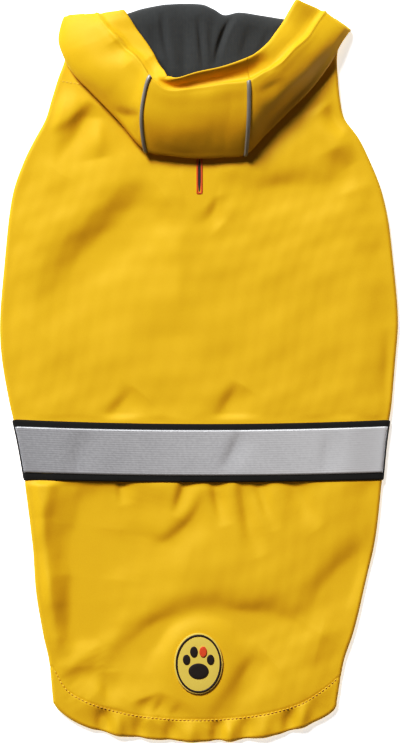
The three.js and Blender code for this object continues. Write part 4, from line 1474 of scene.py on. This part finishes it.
class Hood:
    """The thrown-back hood: two sides and a gusset, with piping in the seams between them."""

    def __init__(self, materials: Materials, size: HoodSize) -> None:
        """Work the whole outer surface out.

        Args:
            materials: The materials.
            size: The hood's sizes.
        """
        self.materials, self.size = materials, size
        self.sections = self._sections()
        self.sheet = self._sheet()

    @staticmethod
    def _sections() -> np.ndarray:
        """Knots of each station's section, from the lower layer up to the rim.

        Returns:
            Nine knots a station: two of the lower layer, the fold's side and top, two on the
            upper layer, crest, dip and rim.
        """
        outer, crest, rim = HOOD[:, 0:2], HOOD[:, 2:4], HOOD[:, 4:6]
        bow, nape, low, roll, crest_z, rim_z, dip = HOOD[:, 6:].T
        width = np.linalg.norm(crest - outer, axis=1)
        inward = (crest - outer) / width[:, None]
        sideways = np.stack([-inward[:, 1], inward[:, 0]], axis=-1)
        roll_top = low + 2 * roll

        def at(distance: np.ndarray, push: np.ndarray, z: np.ndarray) -> np.ndarray:
            """Knots at distances inward and sideways of the outer fold."""
            place = outer + inward * distance[:, None] + sideways * push[:, None]
            return np.column_stack([place, z])

        zero = np.zeros_like(width)
        return np.stack(
            [
                at(roll + nape * width, zero, low),
                at(roll, zero, low),
                at(zero, zero, low + roll),
                at(roll, bow * ROLL_BOW, roll_top),
                *(
                    at(way * width, bow * share, lerp(roll_top, crest_z, height))
                    for way, share, height in UPPER_KNOTS
                ),
                np.column_stack([crest, crest_z]),
                np.column_stack([lerp(crest, rim, DIP_WAY), lerp(crest_z, rim_z, DIP_WAY) - dip]),
                np.column_stack([rim, rim_z]),
            ],
            axis=1,
        )

    def _points(self, stations: np.ndarray, places: np.ndarray, push: np.ndarray) -> np.ndarray:
        """Points of the hood, never below the start of their section.

        Args:
            stations: Station numbers, with fractions.
            places: Knot numbers along the section, with fractions.
            push: Distance of each station's points along the hood.

        Returns:
            Points of shape (stations, places, 3).
        """
        knots = catmull_rom(self.sections, stations)
        ahead = catmull_rom(self.sections, np.minimum(stations + self.size.probe, len(HOOD) - 1))
        behind = catmull_rom(self.sections, np.maximum(stations - self.size.probe, 0))
        tangent = unit(ahead - behind)
        knots = knots + tangent * push[:, None, None]
        points = catmull_rom(knots.transpose(1, 0, 2), places).transpose(1, 0, 2)
        points[..., 2] = np.maximum(points[..., 2], knots[:, :1, 2])
        return points

    def _sheet(self) -> tuple[np.ndarray, np.ndarray, np.ndarray]:
        """Points, normals and cloth coordinates of the whole hood's outer surface.

        Returns:
            Three arrays of shape (stations, places, 3 or 2).
        """
        size = self.size
        last, end = len(HOOD) - 1, self.sections.shape[1] - 1
        stations = np.linspace(0, last, int(round(last / size.station_step)) + 1)
        places = np.linspace(0, end, int(end / size.section_step) + 1)
        points = self._points(stations, places, np.zeros(len(stations)))
        v = run_along(points, 1)
        u = np.broadcast_to(run_along(points[:, len(places) // 2], 0)[:, None], v.shape)
        sheet = grid_surface(points, np.dstack([u, v]))
        rise = self._rise(points, stations, places)
        sheet.points = sheet.points + sheet.normals() * rise.reshape(-1, 1)
        edge = np.interp(stations, RIM_LIFT[:, 0], RIM_LIFT[:, 1])
        lift = edge[:, None] * smoothstep(places, *size.lift_from)
        sheet.points[:, 2] += lift.reshape(-1)
        normals = sheet.normals().reshape(points.shape)
        return sheet.points.reshape(points.shape), normals, np.dstack([u, v])

    def _rise(self, points: np.ndarray, stations: np.ndarray, places: np.ndarray) -> np.ndarray:
        """How far the cloth rises out of the plain hood.

        Args:
            points: Its points.
            stations: Their station numbers.
            places: Their knot numbers along the section.

        Returns:
            Folds, pressed ridges and the strip behind the nape added up, and drawn in at seams.
        """
        size = self.size
        x, y = points[..., 0], points[..., 1]
        shift_x, shift_y = size.ripple_shift
        uneven = size.ripple_share * ripple(x + shift_x, y + shift_y)
        rise = (crease_rise(HOOD_CREASES, x, y) + uneven) * smoothstep(places, *size.fold_start)
        rise = rise + sum(high * bell(places - at, width) for at, width, high in PRESSED)
        nape = smoothstep(stations, *size.nape_start) * (1 - smoothstep(stations, *size.nape_end))
        at, width, high = size.strip
        strip = high * smoothstep(places, *size.strip_end) - high * bell(places - at, width)
        rise = rise + nape[:, None] * strip
        seam = np.minimum(np.abs(stations - size.left_seam), np.abs(stations - size.right_seam))
        drawn = np.clip(seam / size.drawn_reach, size.drawn_least, 1)[:, None]
        return rise * lerp(drawn, 1.0, smoothstep(places, *size.drawn_end))

    def _panel(
        self, name: str, first: int, last: int
    ) -> None:
        """Args:
            name: Its CAD node.
            first: Station at which it starts.
            last: Station at which it ends.
        """
        start, end = (int(round(station / self.size.station_step)) for station in (first, last))
        points, normals, uv = (part[start : end + 1] for part in self.sheet)
        wall = wall_over(grid_surface(points, uv), normals.reshape(-1, 3), -self.size.wall, 0.0)
        cloth = add_mesh(f"{name}_cloth", wall, self.materials.of(RAINCLOTH))
        place_piece(cloth, "raincloth", (name,))
        LOG.info("%s area %.4f", name, wall.area() / 2)

    def _piping(self, name: str, seam: int) -> None:
        """Make one rounded piping.

        Args:
            name: Its CAD node.
            seam: Station of the seam that it lies in.
        """
        size = self.size
        step = size.section_step / 2
        places = np.arange(size.piping_from, size.piping_to + step / 2, step)
        across = np.linspace(-1, 1, size.piping_steps)
        pushes = across * size.piping_half
        points = self._points(np.full(len(pushes), float(seam)), places, pushes)
        v = run_along(points, 1)
        u = np.broadcast_to(pushes[:, None], v.shape)
        sheet = grid_surface(points, np.dstack([u, v]))
        arch = np.sqrt(np.maximum(1 - np.repeat(across, len(places)) ** 2, 0))
        high = size.seam_gap + size.piping_edge + size.piping_rise * arch
        wall = wall_over(sheet, sheet.normals(), size.piping_foot, high)
        cord = add_mesh(f"{name}_tape", wall, self.materials.of(PIPING_TAPE))
        place_piece(cord, "piping", (name,))

    def build(self) -> None:
        """Make the three panels and the two pipings."""
        size = self.size
        self._panel("hood_left", 0, size.left_seam)
        self._panel("hood_gusset", size.left_seam, size.right_seam)
        self._panel("hood_right", size.right_seam, len(HOOD) - 1)
        self._piping("piping_left", size.left_seam)
        self._piping("piping_right", size.right_seam)


# Band


@dataclass(frozen=True)
class BandSize:
    """Heights of both webs over the cloth, the thinned edge, and steps round the side fold."""

    elastic: tuple[float, float] = (0.2, 1.2)
    tape: tuple[float, float] = (1.22, 1.65)
    half_width: float = 24
    edge_from: float = 22.6
    edge_thinning: float = 0.35
    elastic_steps: int = 5
    tape_steps: int = 2


class Band:
    """The reflective band: black woven elastic with silver tape on it."""

    def __init__(self, back: BackSurface, materials: Materials, size: BandSize) -> None:
        """Keep the surface that it lies on, the materials and the sizes."""
        self.back, self.materials, self.size = back, materials, size

    def build(self) -> None:
        """Make both webs."""
        size = self.size
        stretch, normals = self.back.rows_between("band_top", "band_bottom", size.elastic_steps)
        edge = np.abs(stretch.uv[:, 1] + size.half_width)
        thin = size.edge_thinning * smoothstep(edge, size.edge_from, size.half_width)
        low, high = size.elastic
        wall = wall_over(stretch, normals, low, high - thin)
        elastic = add_mesh("band_elastic_web", wall, self.materials.of(ELASTIC))
        place_piece(elastic, "elastic", ("band_elastic",))
        stretch, normals = self.back.rows_between("tape_top", "tape_bottom", size.tape_steps)
        wall = wall_over(stretch, normals, *size.tape)
        tape = add_mesh("band_tape_web", wall, self.materials.of(REFLECTIVE_TAPE))
        place_piece(tape, "reflective_tape", ("band_tape",))


# Moulded pieces, buttonhole and badge


@dataclass(frozen=True)
class Mould:
    """Height of a moulded piece's foot, its thickness, edge radius and points round it."""

    base: float
    thickness: float
    radius: float
    segments: int


# Points over a moulded edge and over a moulded rim, and shares of the size at which a disc's
# flat top has rings.
EDGE_POINTS, RIM_POINTS = 6, 10
TOP_RINGS = (0.5, 0.8, 1.0)
# Share of a rim's height that is its straight side.
RIM_SIDE = 0.45
LEAST_RADIUS = 1e-3


def oval_rings(oval: Oval, profile: np.ndarray, segments: int) -> Surface:
    """Surface of rings round an oval's middle, each an ellipse set in by the profile.

    Args:
        oval: The oval.
        profile: Rows of inset from the oval's edge and height, from first ring to last.
        segments: Points round each ring.

    Returns:
        The surface; a profile that comes back to its start is closed.
    """
    angle = np.linspace(0, 2 * np.pi, segments + 1)
    inset, z = profile[:, 0][:, None], profile[:, 1][:, None]
    x = oval.x + np.maximum(oval.half_width - inset, LEAST_RADIUS) * np.cos(angle)
    y = oval.y + np.maximum(oval.half_length - inset, LEAST_RADIUS) * np.sin(angle)
    points = np.dstack([x, y, np.broadcast_to(z, x.shape)])
    return grid_surface(points, points[..., :2])


def rubber_oval(oval: Oval, mould: Mould) -> Surface:
    """Moulded disc with a rounded upper edge.

    Args:
        oval: Its outline.
        mould: Its height, thickness, edge radius and fineness.

    Returns:
        The closed surface, whose edge is a quarter circle in section.
    """
    inner = min(oval.half_width, oval.half_length)
    base, top, radius = mould.base, mould.base + mould.thickness, mould.radius
    angle = np.linspace(0, math.pi / 2, EDGE_POINTS)
    edge = np.column_stack([radius * (1 - np.cos(angle)), top - radius + radius * np.sin(angle)])
    middle = np.array([[inner * f, top] for f in TOP_RINGS])
    bottom = np.array([[inner, base], [0.0, base]])
    return oval_rings(oval, np.concatenate([bottom, edge, middle]), mould.segments)


def rubber_ring(oval: Oval, width: float, mould: Mould) -> Surface:
    """Moulded rim with a rounded top, just inside an oval's edge.

    Args:
        oval: Its outer edge.
        width: Its width.
        mould: Its height, thickness and fineness.

    Returns:
        The closed surface, whose top is a half ellipse over straight sides.
    """
    angle = np.linspace(0, math.pi, RIM_POINTS)
    inset = width / 2 * (1 - np.cos(angle))
    z = mould.base + mould.thickness * (RIM_SIDE + (1 - RIM_SIDE) * np.sin(angle))
    profile = np.column_stack([inset, z])
    foot = [width, mould.base]
    closed = np.concatenate([[foot, [0.0, mould.base]], profile, [foot]])
    return oval_rings(oval, closed, mould.segments)


@dataclass(frozen=True)
class ButtonholeSize:
    """Sizes of the worked leash slit, and the number of threads round it."""

    x: float = 0.4
    y: float = 156
    half_straight: float = 12.4
    half_width: float = 2.6
    end_share: float = 0.6
    slit: float = 0.85
    base: float = 6.5
    threads: int = 104
    thread_lift: float = 0.2
    slit_rise: float = 0.12
    slit_margin: float = 0.15
    slit_radius: float = 0.05
    slit_points: int = 28


class Buttonhole:
    """The leash slit, bound all round in close orange stitches."""

    BINDING = Stitch(9, 2.1, 0.62, 0.35)
    # Points along each thread's path.
    POINTS = 5

    def __init__(self, materials: Materials, size: ButtonholeSize) -> None:
        """Keep the materials and the sizes."""
        self.materials, self.size = materials, size

    def _edge(self, run: float) -> tuple[np.ndarray, np.ndarray]:
        """Where one thread crosses the slit's edge.

        Args:
            run: Part of the way round the slit, from 0 to 1.

        Returns:
            A point on the slit's middle line and the direction out from it: sideways along the
            straights, round a half circle at the upper end and round a square one at the lower.
        """
        half = self.size.half_straight
        straight, arc = 2 * half, math.pi * self.size.half_width * self.size.end_share
        d = run * (2 * straight + 2 * arc)
        if d < straight:
            return np.array([0, d - half]), np.array([1, 0])
        if d < straight + arc:
            a = (d - straight) / arc * math.pi
            return np.array([0, half]), np.array([math.cos(a), math.sin(a)])
        if d < 2 * straight + arc:
            return np.array([0, half - (d - straight - arc)]), np.array([-1, 0])
        a = math.pi + (d - 2 * straight - arc) / arc * math.pi
        end = np.array([math.cos(a), math.sin(a)])
        return np.array([0, -half]), end / np.abs(end).max()

    def build(self) -> None:
        """Make the threads across the slit's edge, and a dark plate in the slit: the coat's dark
        inside with painted shade.
        """
        size = self.size
        reach = np.linspace(size.slit, size.half_width, self.POINTS)[:, None]
        high = np.full(self.POINTS, size.base + size.thread_lift)
        threads = []
        for run in np.linspace(0, 1, size.threads, endpoint=False):
            middle, out = self._edge(run)
            path = np.column_stack([middle + out * reach + [size.x, size.y], high])
            threads.append(stitch_row(path, UP, self.BINDING))
        bound = add_mesh("buttonhole_threads", join(threads), self.materials.of(ORANGE_THREAD))
        place_piece(bound, "thread", ("leash_buttonhole",))
        # A flat dark grey plate fills the slit: the dark inside seen through it, with painted shade
        # of the opening.
        slit = Oval(size.x, size.y, size.slit + size.slit_margin, size.half_straight + size.slit)
        foot = size.base + size.slit_rise
        mould = Mould(foot, size.slit_rise, size.slit_radius, size.slit_points)
        shade = add_mesh("buttonhole_slit_painted_shade", rubber_oval(slit, mould), self.materials.of(GREY_THREAD))
        place_piece(shade, "jersey")


class Badge:
    """Oval moulded rubber badge with a raised rim and a plain paw print."""

    PLATE = Mould(6.7, 1.4, 0.6, 96)
    GAP = 0.02
    RELIEF = Mould(PLATE.base + PLATE.thickness + GAP, 0.8, 0.5, 40)
    RIM_WIDTH = RIM_INSET = 1.3
    RIM_SEGMENTS = 96
    PAD = Oval(0, -6, 8, 6.2)
    TOES = (
        Oval(-9.6, 3.2, 2.9, 4.0),
        Oval(-3.7, 9.4, 3.0, 4.3),
        Oval(3.7, 9.4, 3.0, 4.3),
        Oval(9.6, 3.2, 2.9, 4.0),
    )
    ORANGE_TOE = "badge_toe_3"

    def __init__(self, materials: Materials) -> None:
        """Keep the materials."""
        self.materials = materials

    def _add(self, node: str, surface: Surface, finish: Finish, slot: str) -> None:
        """Make one moulded piece.

        Args:
            node: The CAD node that it stands for.
            surface: Its surface.
            finish: Its rubber.
            slot: Its material slot's name.
        """
        item = add_mesh(f"{node}_rubber", surface, self.materials.of(finish))
        place_piece(item, slot, (node,))

    def build(self) -> None:
        """Make the plate, its rim and the paw."""
        self._add("badge_plate", rubber_oval(BADGE, self.PLATE), CREAM_RUBBER, "cream_rubber")
        width, length = BADGE.half_width - self.RIM_INSET, BADGE.half_length - self.RIM_INSET
        inset = Oval(BADGE.x, BADGE.y, width, length)
        rim = rubber_ring(inset, self.RIM_WIDTH, replace(self.RELIEF, segments=self.RIM_SEGMENTS))
        self._add("badge_border", rim, DARK_RUBBER, "dark_rubber")
        pieces = {"badge_paw_pad": self.PAD}
        pieces.update({f"badge_toe_{i + 1}": toe for i, toe in enumerate(self.TOES)})
        for node, oval in pieces.items():
            finish, slot = DARK_RUBBER, "dark_rubber"
            if node == self.ORANGE_TOE:
                finish, slot = ORANGE_RUBBER, "orange_rubber"
            placed = replace(oval, x=BADGE.x + oval.x, y=BADGE.y + oval.y)
            self._add(node, rubber_oval(placed, self.RELIEF), finish, slot)


# Studio


# Places and levels of the curve that gives the picture its contrast.
TONE = ((0.1, 0.055), (0.25, 0.175), (0.5, 0.48), (0.8, 0.8))
# Number of the curve for all channels together.
ALL_CHANNELS = 3


@dataclass(frozen=True)
class AreaLight:
    """A soft light: its place, diameter, power, colour and what it points at, in metres."""

    name: str
    place: tuple[float, float, float]
    size: float
    power: float
    colour: str
    aim: tuple[float, float, float] = (0.0, 0.0, 0.0)


@dataclass(frozen=True)
class Studio:
    """Pale floor, soft light and the camera straight above the coat, in metres."""

    field_height: float = 0.5944
    centre: tuple[float, float] = (0.0008, -0.0006)
    distance: float = 6.0
    sensor: float = 36.0
    clipping: tuple[float, float] = (0.1, 50.0)
    floor_half: float = 6.0
    floor_z: float = -0.0002
    floor_colour: str = "#f3f6fb"
    floor_roughness: float = 0.9
    floor_glow: float = 0.65
    room_colour: str = "#ffd9b4"
    room_strength: float = 0.11
    light: AreaLight = AreaLight(
        "key_light", (-2.52, 4.38, 4.24), 2.3, 668, "#fbfcff", (0, 0.05, 0)
    )

    def build(self) -> None:
        """Make the floor, light, room, camera and contrast."""
        self._floor()
        self._light(self.light)
        self._world()
        self._camera()
        self._tone()

    @staticmethod
    def _tone() -> None:
        """Give the picture a product photo's contrast, the same in every channel."""
        view = bpy.context.scene.view_settings
        view.view_transform = "Standard"
        view.use_curve_mapping = True
        curve = view.curve_mapping.curves[ALL_CHANNELS]
        for place, level in TONE:
            curve.points.new(place, level)
        view.curve_mapping.update()

    def _floor(self) -> None:
        """Matte paper that glows a little, as a light table does, so that it comes out pale."""
        half, z = self.floor_half, self.floor_z
        corners = [(-half, -half, z), (half, -half, z), (half, half, z), (-half, half, z)]
        mesh = bpy.data.meshes.new("floor")
        mesh.from_pydata(corners, [], [(0, 1, 2, 3)])
        material = bpy.data.materials.new("pale_paper")
        material.use_nodes = True
        shader = material.node_tree.nodes["Principled BSDF"]
        shader.inputs["Base Color"].default_value = linear(self.floor_colour)
        shader.inputs["Roughness"].default_value = self.floor_roughness
        shader.inputs["Emission Color"].default_value = linear("#ffffff")
        shader.inputs["Emission Strength"].default_value = self.floor_glow
        mesh.materials.append(material)
        floor = bpy.data.objects.new("floor", mesh)
        bpy.context.scene.collection.objects.link(floor)

    def _light(self, light: AreaLight) -> None:
        """Add a disc light.

        Args:
            light: The light, turned so that its axis points at its aim.
        """
        data = bpy.data.lights.new(light.name, "AREA")
        data.shape = "DISK"
        data.size = light.size
        data.energy = light.power
        data.color = linear(light.colour)[:3]
        item = bpy.data.objects.new(light.name, data)
        item.location = light.place
        towards = np.array(light.aim) - np.array(light.place)
        flat = math.hypot(towards[0], towards[1])
        turn = math.atan2(towards[1], towards[0])
        item.rotation_euler = (math.atan2(flat, -towards[2]), 0.0, turn - math.pi / 2)
        bpy.context.scene.collection.objects.link(item)

    def _world(self) -> None:
        """Weak warm light from all round."""
        world = bpy.data.worlds.new("soft_room")
        world.use_nodes = True
        background = world.node_tree.nodes["Background"]
        background.inputs["Color"].default_value = linear(self.room_colour)
        background.inputs["Strength"].default_value = self.room_strength
        bpy.context.scene.world = world

    def _camera(self) -> None:
        """Camera straight above, whose lens is the sensor times the distance over the field."""
        data = bpy.data.cameras.new("camera")
        data.sensor_width = self.sensor
        data.lens = self.sensor * self.distance / self.field_height
        data.clip_start, data.clip_end = self.clipping
        camera = bpy.data.objects.new("camera", data)
        camera.location = (*self.centre, self.distance)
        bpy.context.scene.collection.objects.link(camera)
        bpy.context.scene.camera = camera


def main() -> None:
    """Build the coat and its studio."""
    Studio().build()
    materials = Materials()
    back = BackSurface(PanelSize())
    BackPanel(back, materials).build()
    BellyPanel(back, materials, BellySize()).build()
    NeckJersey(materials, NeckSize()).build()
    Hood(materials, HoodSize()).build()
    Band(back, materials, BandSize()).build()
    Buttonhole(materials, ButtonholeSize()).build()
    Badge(materials).build()


if __name__ == "__main__":
    main()
